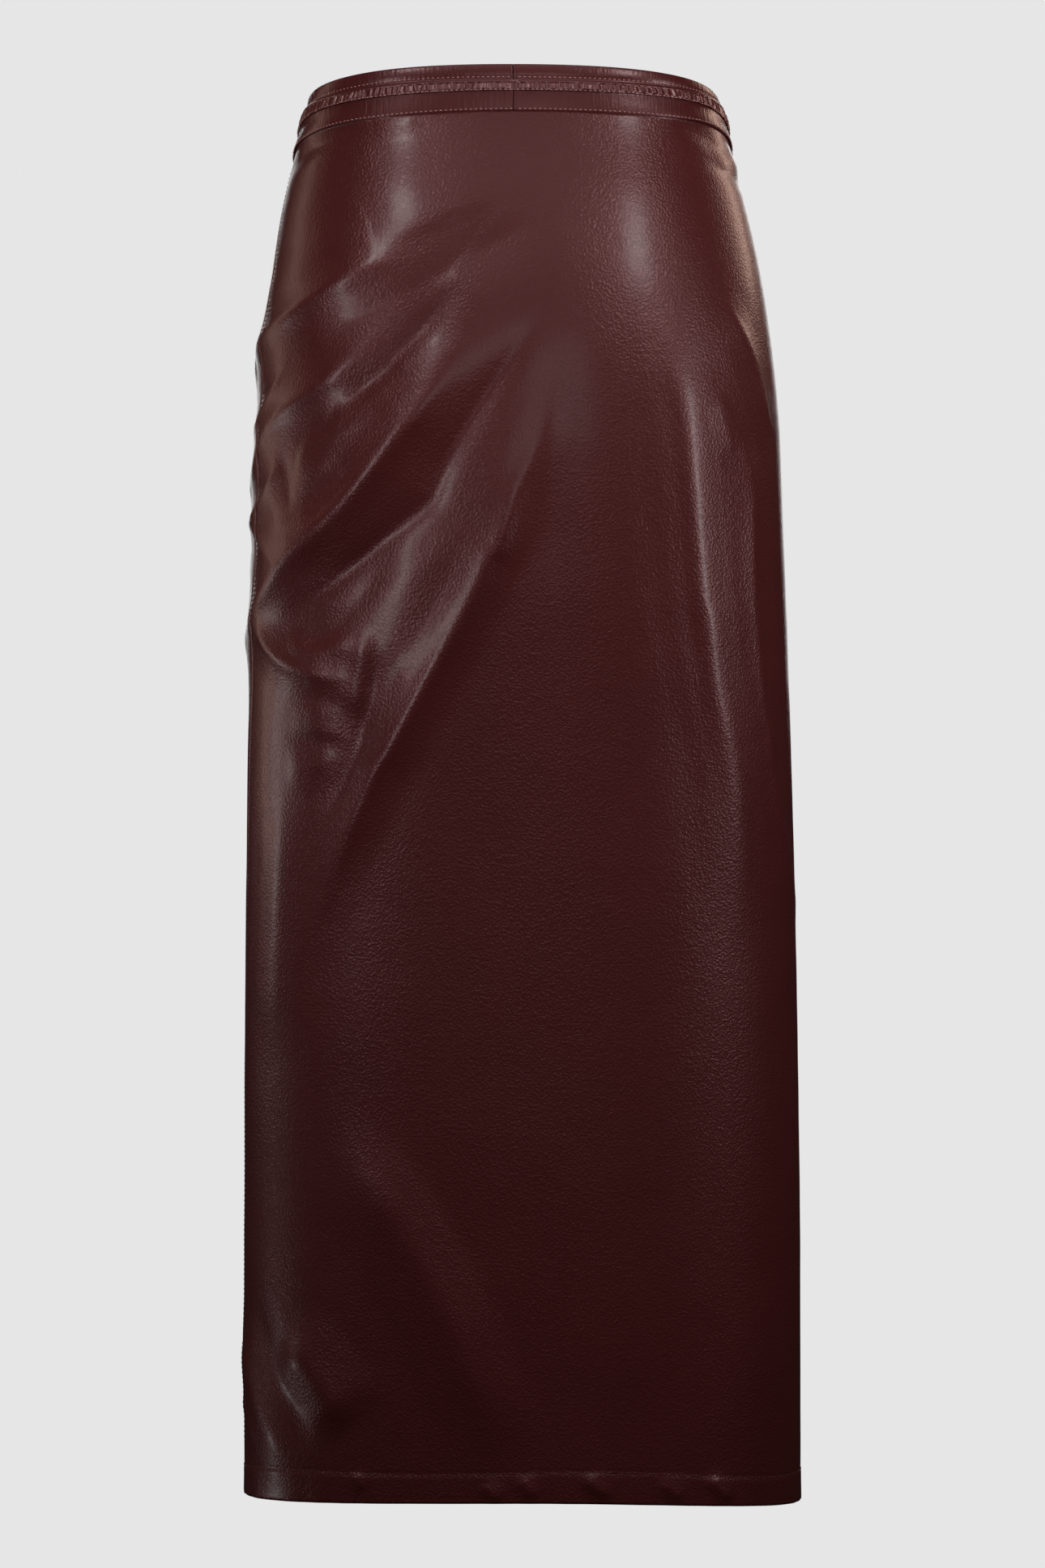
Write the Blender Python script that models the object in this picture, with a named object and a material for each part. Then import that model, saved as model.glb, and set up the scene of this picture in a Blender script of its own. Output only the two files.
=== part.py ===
"""A long straight skirt in smooth oxblood leather, filled out as it is worn.

Metres, +Z up. The origin is the middle of the waist opening, and the skirt hangs down from it.
The garment's back faces -Y, its left side seam (seen from behind) lies at -X.
The walls are rings of points on one surface, so every piece follows the same figure and folds.
"""
import bmesh
import bpy
import numpy as np

MM = 0.001

# Cloth thicknesses and sewing clearances
CLOTH = 1.5 * MM
HEM_FACING = 1.3 * MM
BAND_CLOTH = 2.2 * MM
SEAM_GAP = 0.3 * MM
STRIP_END_GAP = 1.2 * MM

# Hem: level at the back, the fall of the front, and the dip at each side seam
HEM_LEVEL = -867.5 * MM
HEM_TILT = 1.5 * MM
HEM_DIP_LEFT = 4.5 * MM
HEM_DIP_RIGHT = 8.7 * MM
HEM_TURN_UP = 19.0 * MM
HEM_STEP = 0.6 * MM
HEM_ROUND = 1.0 * MM

# How finely each piece is divided
BACK_COLUMNS = 44
FRONT_COLUMNS = 20
PANEL_ROWS = 38
BACK_CROWDING = 0.25
FRONT_CROWDING = -0.20
ROW_CROWDING = 0.30
BAND_HALF_COLUMNS = 16
BAND_FRONT_COLUMNS = 26
STRIP_COLUMNS_PER_BAND_COLUMN = 3
SETTLING_PASSES = 4
SHARP_EDGE = np.radians(50)
PROBE = 1e-3            # the small turn or rise over which a surface's slope is taken
SWEEP_STEPS = 361       # turns tried when a place across the skirt is looked up

# The figure: rings of the body at each height, in millimetres, and how square each ring is
SECTION_COLUMNS = ("height", "left", "right", "back", "front", "square")
SECTIONS = (
    (-880, 175.6, 175.5, 106.9, 105.0, 2.30),
    (-700, 175.6, 175.0, 107.8, 105.0, 2.30),
    (-545, 175.0, 173.0, 110.1, 105.0, 2.31),
    (-390, 172.8, 169.0, 117.1, 105.3, 2.33),
    (-290, 170.4, 165.6, 125.6, 106.6, 2.35),
    (-240, 168.9, 163.7, 129.3, 107.4, 2.36),
    (-190, 166.7, 161.2, 130.9, 107.9, 2.37),
    (-160, 164.5, 158.2, 130.2, 107.8, 2.38),
    (-135, 161.9, 154.9, 128.2, 107.3, 2.39),
    (-110, 158.8, 151.0, 125.0, 106.4, 2.40),
    (-85, 155.2, 146.0, 120.2, 105.0, 2.42),
    (-60, 150.6, 140.0, 114.0, 103.0, 2.45),
    (-32, 143.7, 132.4, 106.2, 99.8, 2.50),
    (-15, 139.0, 128.0, 102.6, 97.0, 2.54),
    (0, 135.5, 124.5, 100.9, 94.3, 2.57),
    (20, 134.0, 122.0, 100.2, 92.0, 2.60),
)

# The waistband's four lines, as heights in millimetres round the waist.
# The turn is in degrees from the centre back, to the right.
WAIST_COLUMNS = ("turn", "rim", "roll", "stitch", "foot")
WAIST_LINES = (
    (-180, -14, -23, -31, -43),
    (-130, -8, -16, -26, -39),
    (-90, 3, -4, -17, -31),
    (-60, 9.5, 1, -8, -21),
    (-35, 14, 5, -3, -15.5),
    (0, 16, 6.7, -0.6, -12.6),
    (35, 14, 5.5, -2, -14),
    (60, 9.5, 3, -5.5, -16.5),
    (90, 1, -4, -16.5, -26.5),
    (130, -8, -16, -26, -38),
    (180, -14, -23, -31, -43),
)

# The side seams' turn from the centre back, in degrees, at heights in millimetres.
# The drapes drag the left seam round to the back below the hip.
SEAM_COLUMNS = ("height", "left", "right")
SEAMS = (
    (-880, -87, 91),
    (-620, -85, 91),
    (-450, -79, 91),
    (-320, -74, 92),
    (-150, -73, 92),
    (-80, -78, 92),
    (-20, -86, 92),
    (20, -87, 92),
)

# The largest folds. Each runs along points (across, down) in millimetres from the origin, as
# seen square-on from its own side of the skirt. Height is outwards, negative for a trough.
# Wide_left and wide_right are the widths over which it falls away on either hand of someone
# walking along it, and tip is the roundness of its crest. Start is the share of its height that
# it already has where it begins, as a fold that comes out of a seam does.
FOLD_COLUMNS = ("name", "side", "height", "tip", "wide_left", "wide_right", "start", "line")
FOLDS = (
    ("drape 1", "back", 3.8, 4.0, 20, 9, 0.5,
     ((-170, 163), (-155, 146), (-103, 115), (-84, 107), (-67, 95))),
    ("drape 2", "back", 3.0, 3.0, 18, 8, 0.5,
     ((-171, 240), (-161, 211), (-149, 197), (-113, 175), (-81, 143))),
    ("drape 3", "back", -3.0, 3.0, 9, 9, 0.0,
     ((-123, 203), (-86, 174), (-79, 165), (-48, 133), (-32, 122))),
    ("drape 4", "back", 5.4, 5.0, 17, 12, 0.5,
     ((-175, 331), (-143, 288), (-126, 273), (-87, 229), (-71, 208), (-64, 201), (-40, 166),
      (-34, 145))),
    ("valley", "back", -5.4, 2.0, 15, 14, 0.0,
     ((-159, 332), (-147, 322), (-109, 299), (-62, 261), (-47, 230), (9, 142), (22, 126))),
    ("drape 5", "back", -3.0, 2.5, 12, 12, 0.0,
     ((-150, 321), (-141, 329), (-129, 335), (-119, 332), (-101, 314), (-93, 300), (-73, 274))),
    ("drape 6", "back", 5.0, 3.0, 20, 9, 0.0,
     ((-147, 555), (-128, 510), (-118, 492), (-113, 476), (-86, 410), (-72, 383), (-57, 360),
      (-24, 289), (-17, 278), (7, 224), (16, 196), (20, 169))),
    ("second loop", "back", 3.4, 2.0, 9, 8, 0.5,
     ((-168, 324), (-153, 345), (-135, 356), (-112, 360), (-102, 356))),
    ("first loop", "back", 1.4, 1.5, 6, 5, 0.0, ((-148, 334), (-128, 345), (-109, 339), (-101, 332))),
    ("loop side", "back", 2.4, 1.5, 8, 6, 0.0, ((-96, 328), (-102, 373), (-107, 387))),
    ("deep trough", "back", -3.2, 1.5, 6, 8, 0.0,
     ((-88, 325), (-92, 367), (-98, 392), (-101, 407), (-118, 443), (-129, 453))),
    ("loop belly", "back", 2.2, 6.0, 8, 8, 0.0, ((-126, 373), (-126, 385), (-127, 400))),
    ("short ridge", "back", 1.6, 2.0, 6, 6, 0.0, ((-148, 414), (-133, 414), (-121, 411), (-112, 405))),
    ("left fall", "back", 2.2, 6.0, 12, 12, 0.0, ((-148, 422), (-151, 508), (-156, 603))),
    ("middle fall", "back", -1.6, 3.0, 14, 18, 0.0,
     ((24, 323), (17, 255), (20, 196), (25, 168), (33, 144))),
    ("right fall", "back", 3.6, 2.0, 12, 14, 0.0,
     ((143, 543), (139, 477), (137, 424), (124, 360), (120, 326), (115, 302), (106, 208),
      (100, 175), (96, 143), (87, 119), (80, 108))),
    ("right furrow", "back", -1.2, 3.0, 12, 8, 0.0,
     ((117, 422), (115, 392), (102, 293), (98, 239), (91, 180), (81, 133))),
    ("right hip", "back", 2.4, 1.5, 14, 7, 0.0,
     ((157, 210), (150, 192), (143, 164), (128, 135), (120, 124))),
    ("right edge", "back", 2.8, 1.5, 12, 6, 0.0,
     ((177, 519), (167, 482), (154, 416), (152, 395), (148, 372), (142, 300), (142, 242),
      (138, 222), (124, 193), (119, 176))),
    ("hem sweep", "back", 2.2, 20.0, 15, 13, 0.0,
     ((-5, 846), (-31, 789), (-44, 755), (-79, 691), (-122, 634))),
    ("hem corner", "back", 3.0, 3.0, 10, 8, 0.5, ((-179, 775), (-159, 822), (-133, 853))),
    ("hem patch", "back", 2.4, 10.0, 12, 10, 0.0, ((-148, 780), (-116, 810), (-106, 826))),
    ("hem furrow", "back", -2.4, 2.0, 6, 8, 0.0, ((-172, 742), (-154, 797), (-127, 840))),
    ("hem ridge", "back", 1.2, 2.0, 5, 5, 0.0, ((-165, 732), (-154, 735), (-145, 744))),
    ("drape 1", "front", 3.4, 1.5, 9, 14, 0.5,
     ((-173, 168), (-156, 150), (-136, 136), (-112, 124), (-82, 112))),
    ("drape 2", "front", 3.6, 1.5, 9, 14, 0.5,
     ((-174, 240), (-158, 216), (-138, 196), (-112, 178), (-84, 164), (-56, 150))),
    ("drape 3", "front", 3.4, 2.5, 9, 13, 0.5,
     ((-174, 290), (-152, 262), (-122, 236), (-88, 206), (-52, 178))),
    ("drape 4", "front", 5.5, 2.0, 11, 15, 0.5,
     ((-176, 338), (-156, 314), (-124, 286), (-88, 248), (-50, 204), (-20, 172))),
    ("valley", "front", -3.6, 3.0, 14, 14, 0.0, ((-150, 336), (-112, 312), (-74, 274), (-38, 226))),
    ("drape 5", "front", 3.6, 2.0, 14, 14, 0.0,
     ((-152, 364), (-128, 360), (-96, 338), (-62, 292), (-28, 240), (4, 190))),
    ("drape 6", "front", 4.0, 2.0, 12, 18, 0.0,
     ((-134, 546), (-100, 466), (-64, 384), (-30, 314), (2, 252), (18, 196))),
    ("right fall", "front", 3.4, 2.0, 14, 12, 0.0,
     ((88, 118), (102, 190), (114, 280), (128, 380), (140, 470), (148, 590))),
    ("right edge", "front", 2.4, 2.0, 8, 10, 0.0, ((146, 290), (150, 360), (160, 440), (170, 510))),
    ("hem sweep", "front", 2.0, 18.0, 14, 14, 0.0, ((-130, 640), (-96, 690), (-64, 750), (-34, 830))),
    ("hem corner", "front", 2.2, 6.0, 10, 10, 0.0, ((146, 690), (130, 760), (110, 830))),
)
FOLD_STEPS = 6          # samples between two points of a fold's line
FOLD_FADE = 0.30        # share of its length over which a fold rises and falls away
FOLD_REACH = 3.0        # how many of its widths a fold reaches to either side
FOLD_RUN_OUT = 1.5      # over how many widths it dies away at the end of its reach
FOLD_FREE_TOP = 26 * MM   # below the waistband the folds reach their height over this depth

# The waistband's section, from its rim to its foot: the line each row follows, how far above the
# line it lies and how far its two faces are sunk towards each other, in millimetres
BAND_COLUMNS = ("line", "shift", "sunk")
BAND_SECTION = (
    ("rim", 0.0, 0.6),
    ("rim", -0.9, 0.0),
    ("roll", 0.0, 0.0),
    ("stitch", 0.0, 0.0),
    ("foot", 0.9, 0.0),
    ("foot", 0.0, 0.5),
)

# The raised strip's section: place between its roll (0) and its stitching (1), and how far the
# point stands off the waistband, in millimetres. Gather is the share of the ruching it takes.
STRIP_COLUMNS = ("place", "off", "gather")
STRIP_SECTION = (
    (0.00, 1.5, 0.0),
    (0.10, 2.8, 0.1),
    (0.28, 2.1, 0.5),
    (0.62, 2.2, 1.0),
    (1.00, 1.1, 0.5),
)
RUCHE_DEPTH = 0.55 * MM
RUCHE_BEAT = 2.3        # how the ruching's depth wanders from pleat to pleat
STRIP_PINCH = 0.45      # share of its thickness that the strip keeps at the centre back
STRIP_PINCH_LENGTH = 7 * MM

# Oxblood leather, as red, green, blue, alpha in linear light
OXBLOOD = (0.066, 0.014, 0.016, 1.0)
OXBLOOD_BAND = (0.060, 0.013, 0.014, 1.0)
OXBLOOD_STRIP = (0.072, 0.018, 0.020, 1.0)
LEATHER_ROUGHNESS = 0.33


def column_of(columns, rows, name):
    """One named column of a table, as numbers."""
    return np.array([row[columns.index(name)] for row in rows], float)


def eased(at, knots, values):
    """A natural cubic spline through the knots."""
    gap = np.diff(knots)
    climb = np.diff(values) / gap
    system = np.eye(len(knots))
    target = np.zeros(len(knots))
    for i in range(1, len(knots) - 1):
        system[i, i - 1:i + 2] = gap[i - 1], 2 * (gap[i - 1] + gap[i]), gap[i]
        target[i] = 6 * (climb[i] - climb[i - 1])
    bend = np.linalg.solve(system, target)
    at = np.clip(at, knots[0], knots[-1])
    cell = np.clip(np.searchsorted(knots, at, side="right") - 1, 0, len(knots) - 2)
    here, there = at - knots[cell], knots[cell + 1] - at
    width = gap[cell]
    curve = (bend[cell] * there ** 3 + bend[cell + 1] * here ** 3) / (6 * width)
    start = (values[cell] / width - bend[cell] * width / 6) * there
    end = (values[cell + 1] / width - bend[cell + 1] * width / 6) * here
    return curve + start + end


def section(name, height):
    """A size of the figure's ring at a height."""
    heights = column_of(SECTION_COLUMNS, SECTIONS, "height")
    return eased(height / MM, heights, column_of(SECTION_COLUMNS, SECTIONS, name))


def waist_line(name, turn):
    """The height of one of the waistband's lines at a turn."""
    turns = np.radians(column_of(WAIST_COLUMNS, WAIST_LINES, "turn"))
    wrapped = (turn + np.pi) % (2 * np.pi) - np.pi
    return eased(wrapped, turns, column_of(WAIST_COLUMNS, WAIST_LINES, name)) * MM


def seam_turn(side, height):
    """The turn of the left or right side seam at a height."""
    heights = column_of(SEAM_COLUMNS, SEAMS, "height")
    return np.radians(eased(height / MM, heights, column_of(SEAM_COLUMNS, SEAMS, side)))


def bluntness(turn, height):
    """How far a squarish ring reaches past the plain ellipse at a turn."""
    square = section("square", height)
    return (np.abs(np.sin(turn)) ** square + np.abs(np.cos(turn)) ** square) ** (-1 / square)


def figure_point(turn, height):
    """The point of the smooth figure at a turn and a height."""
    turn, height = np.broadcast_arrays(turn, height)
    left = section("left", height) * MM
    right = section("right", height) * MM
    behind = np.cos(turn) > 0
    depth = np.where(behind, section("back", height), section("front", height)) * MM
    blunt = bluntness(turn, height)
    x = (right - left) / 2 + (left + right) / 2 * np.sin(turn) * blunt
    y = -depth * np.cos(turn) * blunt
    return np.stack([x, y, height], -1)


def outward(turn, height):
    """The unit direction that points straight out of the figure."""
    round_it = figure_point(turn + PROBE, height) - figure_point(turn - PROBE, height)
    up_it = figure_point(turn, height + PROBE) - figure_point(turn, height - PROBE)
    normal = np.cross(round_it, up_it)
    return normal / np.linalg.norm(normal, axis=-1, keepdims=True)


def turn_at(across, height, side):
    """The turn at which the figure lies a distance across, on its back or front."""
    sweep = np.linspace(-np.pi / 2, np.pi / 2, SWEEP_STEPS)
    reach = figure_point(sweep, np.full_like(sweep, height))[:, 0]
    turn = np.interp(across, reach, sweep)
    return turn if side == "back" else np.pi - turn


def smooth_trail(points, steps):
    """Points along a Catmull-Rom curve through the given points."""
    points = np.array(points, float)
    ends = np.vstack([2 * points[0] - points[1], points, 2 * points[-1] - points[-2]])
    trail = []
    for i in range(1, len(ends) - 2):
        before, here, there, after = ends[i - 1:i + 3]
        for t in np.arange(steps) / steps:
            trail.append(0.5 * (2 * here + (there - before) * t
                                + (2 * before - 5 * here + 4 * there - after) * t ** 2
                                + (3 * here - before - 3 * there + after) * t ** 3))
    trail.append(points[-1])
    return np.array(trail)


def rise(t):
    """A soft step from 0 to 1."""
    t = np.clip(t, 0, 1)
    return t * t * (3 - 2 * t)


def fold_relief(points, fold):
    """How far one fold lifts each point of the figure."""
    name, side, height, tip, wide_left, wide_right, start, line = fold
    trail = smooth_trail(line, FOLD_STEPS) * MM
    turns = np.array([turn_at(across, -down, side) for across, down in trail])
    spine = figure_point(turns, -trail[:, 1])
    facing = outward(turns, -trail[:, 1])
    run = np.diff(spine, axis=0)
    length = np.linalg.norm(run, axis=1)
    walked = np.concatenate([[0], np.cumsum(length)])
    apart = points[:, None, :] - spine[None, :-1]
    share = np.clip((apart * run).sum(-1) / length ** 2, 0, 1)
    apart = apart - share[..., None] * run
    gap = np.linalg.norm(apart, axis=-1)
    near = gap.argmin(1)
    each = np.arange(len(points))
    right_hand = np.cross(run, facing[:-1])
    to_right = (apart[each, near] * right_hand[near]).sum(-1) > 0
    width = np.where(to_right, wide_right, wide_left) * MM
    along = (walked[near] + share[each, near] * length[near]) / walked[-1]
    from_start = start + (1 - start) * rise(along / FOLD_FADE)
    strength = from_start * rise((1 - along) / FOLD_FADE)
    away = gap[each, near]
    rounded = np.sqrt(away ** 2 + (tip * MM) ** 2) - tip * MM
    profile = np.exp(-rounded / width) * rise((FOLD_REACH - away / width) / FOLD_RUN_OUT)
    return height * MM * strength * profile


def relief(points, turn, height):
    """How far all the folds together lift each point of the figure."""
    flat = points.reshape(-1, 3)
    lift = sum(fold_relief(flat, fold) for fold in FOLDS).reshape(points.shape[:-1])
    below_band = (waist_line("foot", turn) - height) / FOLD_FREE_TOP
    return lift * rise(below_band)


def hem_height(turn):
    """The height of the skirt's lower edge at a turn."""
    blunt = bluntness(turn, np.full_like(turn, HEM_LEVEL))
    sideways, backwards = np.sin(turn) * blunt, np.cos(turn) * blunt
    dip = np.where(sideways < 0, HEM_DIP_LEFT, HEM_DIP_RIGHT)
    return HEM_LEVEL + HEM_TILT * backwards - dip * sideways ** 2


def gap_turn(height):
    """Half of a seam's gap, as a turn at the side of the figure."""
    return SEAM_GAP / 2 / (np.minimum(section("back", height), section("front", height)) * MM)


def closed_wall(name, outer, inner, colour):
    """One solid between an outer and an inner grid of points, closed round its four edges."""
    wall = bmesh.new()
    out = [[wall.verts.new(point) for point in row] for row in outer]
    within = [[wall.verts.new(point) for point in row] for row in inner]
    for skin, outwards in ((out, True), (within, False)):
        for upper, lower in zip(skin, skin[1:]):
            for j in range(len(upper) - 1):
                corners = (upper[j], lower[j], lower[j + 1], upper[j + 1])
                wall.faces.new(corners if outwards else corners[::-1])
    rim_out, rim_within = border(out), border(within)
    for i, corner in enumerate(rim_out):
        following = (i + 1) % len(rim_out)
        wall.faces.new((corner, rim_out[following], rim_within[following], rim_within[i]))
    bmesh.ops.triangulate(wall, faces=wall.faces)
    bmesh.ops.recalc_face_normals(wall, faces=wall.faces)
    mesh = bpy.data.meshes.new(name)
    wall.to_mesh(mesh)
    wall.free()
    mesh.shade_smooth()
    mesh.set_sharp_from_angle(angle=SHARP_EDGE)
    mesh.materials.append(leather(name, colour))
    piece = bpy.data.objects.new(name, mesh)
    bpy.context.collection.objects.link(piece)
    return piece


def border(grid):
    """The corners round the edge of a grid, in order."""
    right = [row[-1] for row in grid[1:]]
    bottom = grid[-1][-2::-1]
    left = [row[0] for row in grid[-2:0:-1]]
    return grid[0] + right + bottom + left


def leather(name, colour):
    """Smooth finished leather with a satin gloss."""
    finish = bpy.data.materials.new(name + "_leather")
    finish.use_nodes = True
    shader = finish.node_tree.nodes["Principled BSDF"]
    shader.inputs["Base Color"].default_value = colour
    shader.inputs["Roughness"].default_value = LEATHER_ROUGHNESS
    shader.inputs["Metallic"].default_value = 0.0
    return finish


def back_edges(height):
    """The turns of the back panel's two side edges."""
    gap = gap_turn(height)
    return seam_turn("left", height) + gap, seam_turn("right", height) - gap


def front_edges(height):
    """The turns of the front panel's two side edges, going on round from the right seam."""
    gap = gap_turn(height)
    return seam_turn("right", height) + gap, seam_turn("left", height) + 2 * np.pi - gap


def crowded(count, crowding):
    """Places from 0 to 1, closer together at the start."""
    even = np.linspace(0, 1, count + 1)
    return (1 - crowding) * even + crowding * even ** 2


def panel(name, edges, columns, crowding):
    """A panel from the waistband's foot down to the hem, with the hem's turn-up inside it."""
    across = crowded(columns, crowding)
    down = crowded(PANEL_ROWS, ROW_CROWDING)[:, None]
    first, last = edges(np.array([HEM_LEVEL / 2]))
    turn = first + (last - first) * across[None, :]
    for _ in range(SETTLING_PASSES):
        top = waist_line("foot", turn[0]) - SEAM_GAP
        foot = hem_height(turn[-1])
        turn_up = foot + HEM_TURN_UP
        height = np.vstack([top + (turn_up - top) * down, turn_up - HEM_STEP, foot + HEM_ROUND, foot])
        first, last = edges(height)
        turn = first + (last - first) * across
    facing = outward(turn, height)
    figure = figure_point(turn, height)
    sunk = np.zeros((len(height), 1))
    sunk[-1] = HEM_ROUND / 2
    thickness = np.full((len(height), 1), CLOTH)
    thickness[-3:] += HEM_FACING
    outer = figure + facing * (relief(figure, turn, height) - sunk)[..., None]
    inner = outer - facing * (thickness - 2 * sunk)[..., None]
    return closed_wall(name, outer, inner, OXBLOOD)


def band(name, first_turn, last_turn, columns):
    """A stretch of the waistband, with its rim and foot rounded. Returns its points too."""
    turn = np.linspace(first_turn, last_turn, columns + 1)
    lines = [waist_line(line, turn) + shift * MM for line, shift, sunk in BAND_SECTION]
    height = np.array(lines)
    turn = np.broadcast_to(turn, height.shape)
    sunk = column_of(BAND_COLUMNS, BAND_SECTION, "sunk")[:, None, None] * MM
    facing = outward(turn, height)
    figure = figure_point(turn, height)
    closed_wall(name, figure - facing * sunk, figure - facing * (BAND_CLOTH - sunk), OXBLOOD_BAND)
    return figure, facing


def strip(name, band_points, first_inset, last_inset, pinched_end):
    """The raised strip on a stretch of waistband, made from the band's points, moved out."""
    figure, facing = band_points
    line_names = [row[0] for row in BAND_SECTION]
    roll, stitch = line_names.index("roll"), line_names.index("stitch")
    walked = np.concatenate([[0], np.cumsum(np.linalg.norm(np.diff(figure[roll], axis=0), axis=1))])
    steps = (len(walked) - 1) * STRIP_COLUMNS_PER_BAND_COLUMN
    places = np.linspace(first_inset, walked[-1] - last_inset, steps + 1)

    def along(points):
        return np.stack([np.interp(places, walked, points[:, axis]) for axis in range(3)], -1)

    upper, lower = along(figure[roll]), along(figure[stitch])
    normal = along(facing[roll] + facing[stitch])
    normal /= np.linalg.norm(normal, axis=1, keepdims=True)
    count = np.arange(steps + 1)
    uneven = 0.65 + 0.35 * np.sin(RUCHE_BEAT * count)
    ruche = RUCHE_DEPTH * np.where(count % 2, 1, -1) * uneven
    from_end = places - places[0] if pinched_end == "first" else places[-1] - places
    fullness = np.ones(steps + 1)
    if pinched_end:
        fullness = STRIP_PINCH + (1 - STRIP_PINCH) * rise(from_end / STRIP_PINCH_LENGTH)
    outer = []
    for place, off, gather in STRIP_SECTION:
        stand = (off * MM + gather * ruche) * fullness
        outer.append(upper + (lower - upper) * place + normal * stand[:, None])
    inner = [upper + (lower - upper) * row[0] + normal * SEAM_GAP for row in STRIP_SECTION]
    closed_wall(name, np.array(outer), np.array(inner), OXBLOOD_STRIP)


def clear_scene():
    """Start from an empty scene."""
    for leftover in list(bpy.data.objects):
        bpy.data.objects.remove(leftover, do_unlink=True)


def main():
    """Sew the skirt together."""
    clear_scene()
    panel("panel_back", back_edges, BACK_COLUMNS, BACK_CROWDING)
    panel("panel_front", front_edges, FRONT_COLUMNS, FRONT_CROWDING)
    at_rim = np.array(0.0)
    left, right = back_edges(at_rim)
    front_start, front_end = front_edges(at_rim)
    centre = SEAM_GAP / (section("left", at_rim) + section("right", at_rim)) / MM
    stretches = (
        ("back_left", left, -centre, BAND_HALF_COLUMNS, "last"),
        ("back_right", centre, right, BAND_HALF_COLUMNS, "first"),
        ("front", front_start, front_end, BAND_FRONT_COLUMNS, None),
    )
    for place, first, last, columns, pinched_end in stretches:
        points = band("waistband_" + place, first, last, columns)
        inset = {end: STRIP_END_GAP / 2 if end == pinched_end else 0.0 for end in ("first", "last")}
        strip("raised_strip_" + place, points, inset["first"], inset["last"], pinched_end)


main()
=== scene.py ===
"""The looks of a long oxblood leather skirt, filled out as it is worn and seen from its back.

The skirt is sewn again here as fine shells on the forms of its solids: two panels with their
drapes, a waistband in three pieces, a gathered strip on it, and all the topstitching.
Metres, +Z up. The origin is the middle of the waist opening and the garment's back faces -Y.
"""
from collections import namedtuple

import bpy
import numpy as np
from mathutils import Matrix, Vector, noise


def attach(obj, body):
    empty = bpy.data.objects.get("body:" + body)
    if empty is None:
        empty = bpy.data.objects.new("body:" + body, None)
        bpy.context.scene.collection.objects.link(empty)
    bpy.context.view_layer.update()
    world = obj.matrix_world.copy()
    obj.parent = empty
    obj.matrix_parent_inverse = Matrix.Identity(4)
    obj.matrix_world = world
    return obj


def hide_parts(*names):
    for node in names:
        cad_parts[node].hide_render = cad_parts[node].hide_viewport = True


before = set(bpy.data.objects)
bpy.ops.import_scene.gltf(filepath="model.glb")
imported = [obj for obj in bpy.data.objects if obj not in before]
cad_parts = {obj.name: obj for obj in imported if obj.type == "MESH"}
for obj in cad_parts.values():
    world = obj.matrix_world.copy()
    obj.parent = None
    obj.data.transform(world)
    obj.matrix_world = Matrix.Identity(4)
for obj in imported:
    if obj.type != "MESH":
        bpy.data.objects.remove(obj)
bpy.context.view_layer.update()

bl_info = {
    "name": "Draped leather skirt",
    "version": (1, 0, 0),
    "blender": (4, 5, 0),
    "location": "3D View > Sidebar > Skirt",
    "description": "Sews a long leather skirt with side drapes and a gathered strip at the waist",
    "category": "Object",
}

MM = 0.001
BODY = "root"

# The figure: rings of the body at each height, in millimetres, and how square each ring is
SECTION_COLUMNS = ("height", "left", "right", "back", "front", "square")
SECTIONS = (
    (-880, 175.6, 175.5, 106.9, 105.0, 2.30),
    (-700, 175.6, 175.0, 107.8, 105.0, 2.30),
    (-545, 175.0, 173.0, 110.1, 105.0, 2.31),
    (-390, 172.8, 169.0, 117.1, 105.3, 2.33),
    (-290, 170.4, 165.6, 125.6, 106.6, 2.35),
    (-240, 168.9, 163.7, 129.3, 107.4, 2.36),
    (-190, 166.7, 161.2, 130.9, 107.9, 2.37),
    (-160, 164.5, 158.2, 130.2, 107.8, 2.38),
    (-135, 161.9, 154.9, 128.2, 107.3, 2.39),
    (-110, 158.8, 151.0, 125.0, 106.4, 2.40),
    (-85, 155.2, 146.0, 120.2, 105.0, 2.42),
    (-60, 150.6, 140.0, 114.0, 103.0, 2.45),
    (-32, 143.7, 132.4, 106.2, 99.8, 2.50),
    (-15, 139.0, 128.0, 102.6, 97.0, 2.54),
    (0, 135.5, 124.5, 100.9, 94.3, 2.57),
    (20, 134.0, 122.0, 100.2, 92.0, 2.60),
)

# The waistband's four lines, as heights in millimetres at turns in degrees from the centre back
WAIST_COLUMNS = ("turn", "rim", "roll", "stitch", "foot")
WAIST_LINES = (
    (-180, -14, -23, -31, -43),
    (-130, -8, -16, -26, -39),
    (-90, 3, -4, -17, -31),
    (-60, 9.5, 1, -8, -21),
    (-35, 14, 5, -3, -15.5),
    (0, 16, 6.7, -0.6, -12.6),
    (35, 14, 5.5, -2, -14),
    (60, 9.5, 3, -5.5, -16.5),
    (90, 1, -4, -16.5, -26.5),
    (130, -8, -16, -26, -38),
    (180, -14, -23, -31, -43),
)

# The side seams' turn from the centre back, in degrees, at heights in millimetres
SEAM_COLUMNS = ("height", "left", "right")
SEAMS = (
    (-880, -87, 91),
    (-620, -85, 91),
    (-450, -79, 91),
    (-320, -74, 92),
    (-150, -73, 92),
    (-80, -78, 92),
    (-20, -86, 92),
    (20, -87, 92),
)

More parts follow.
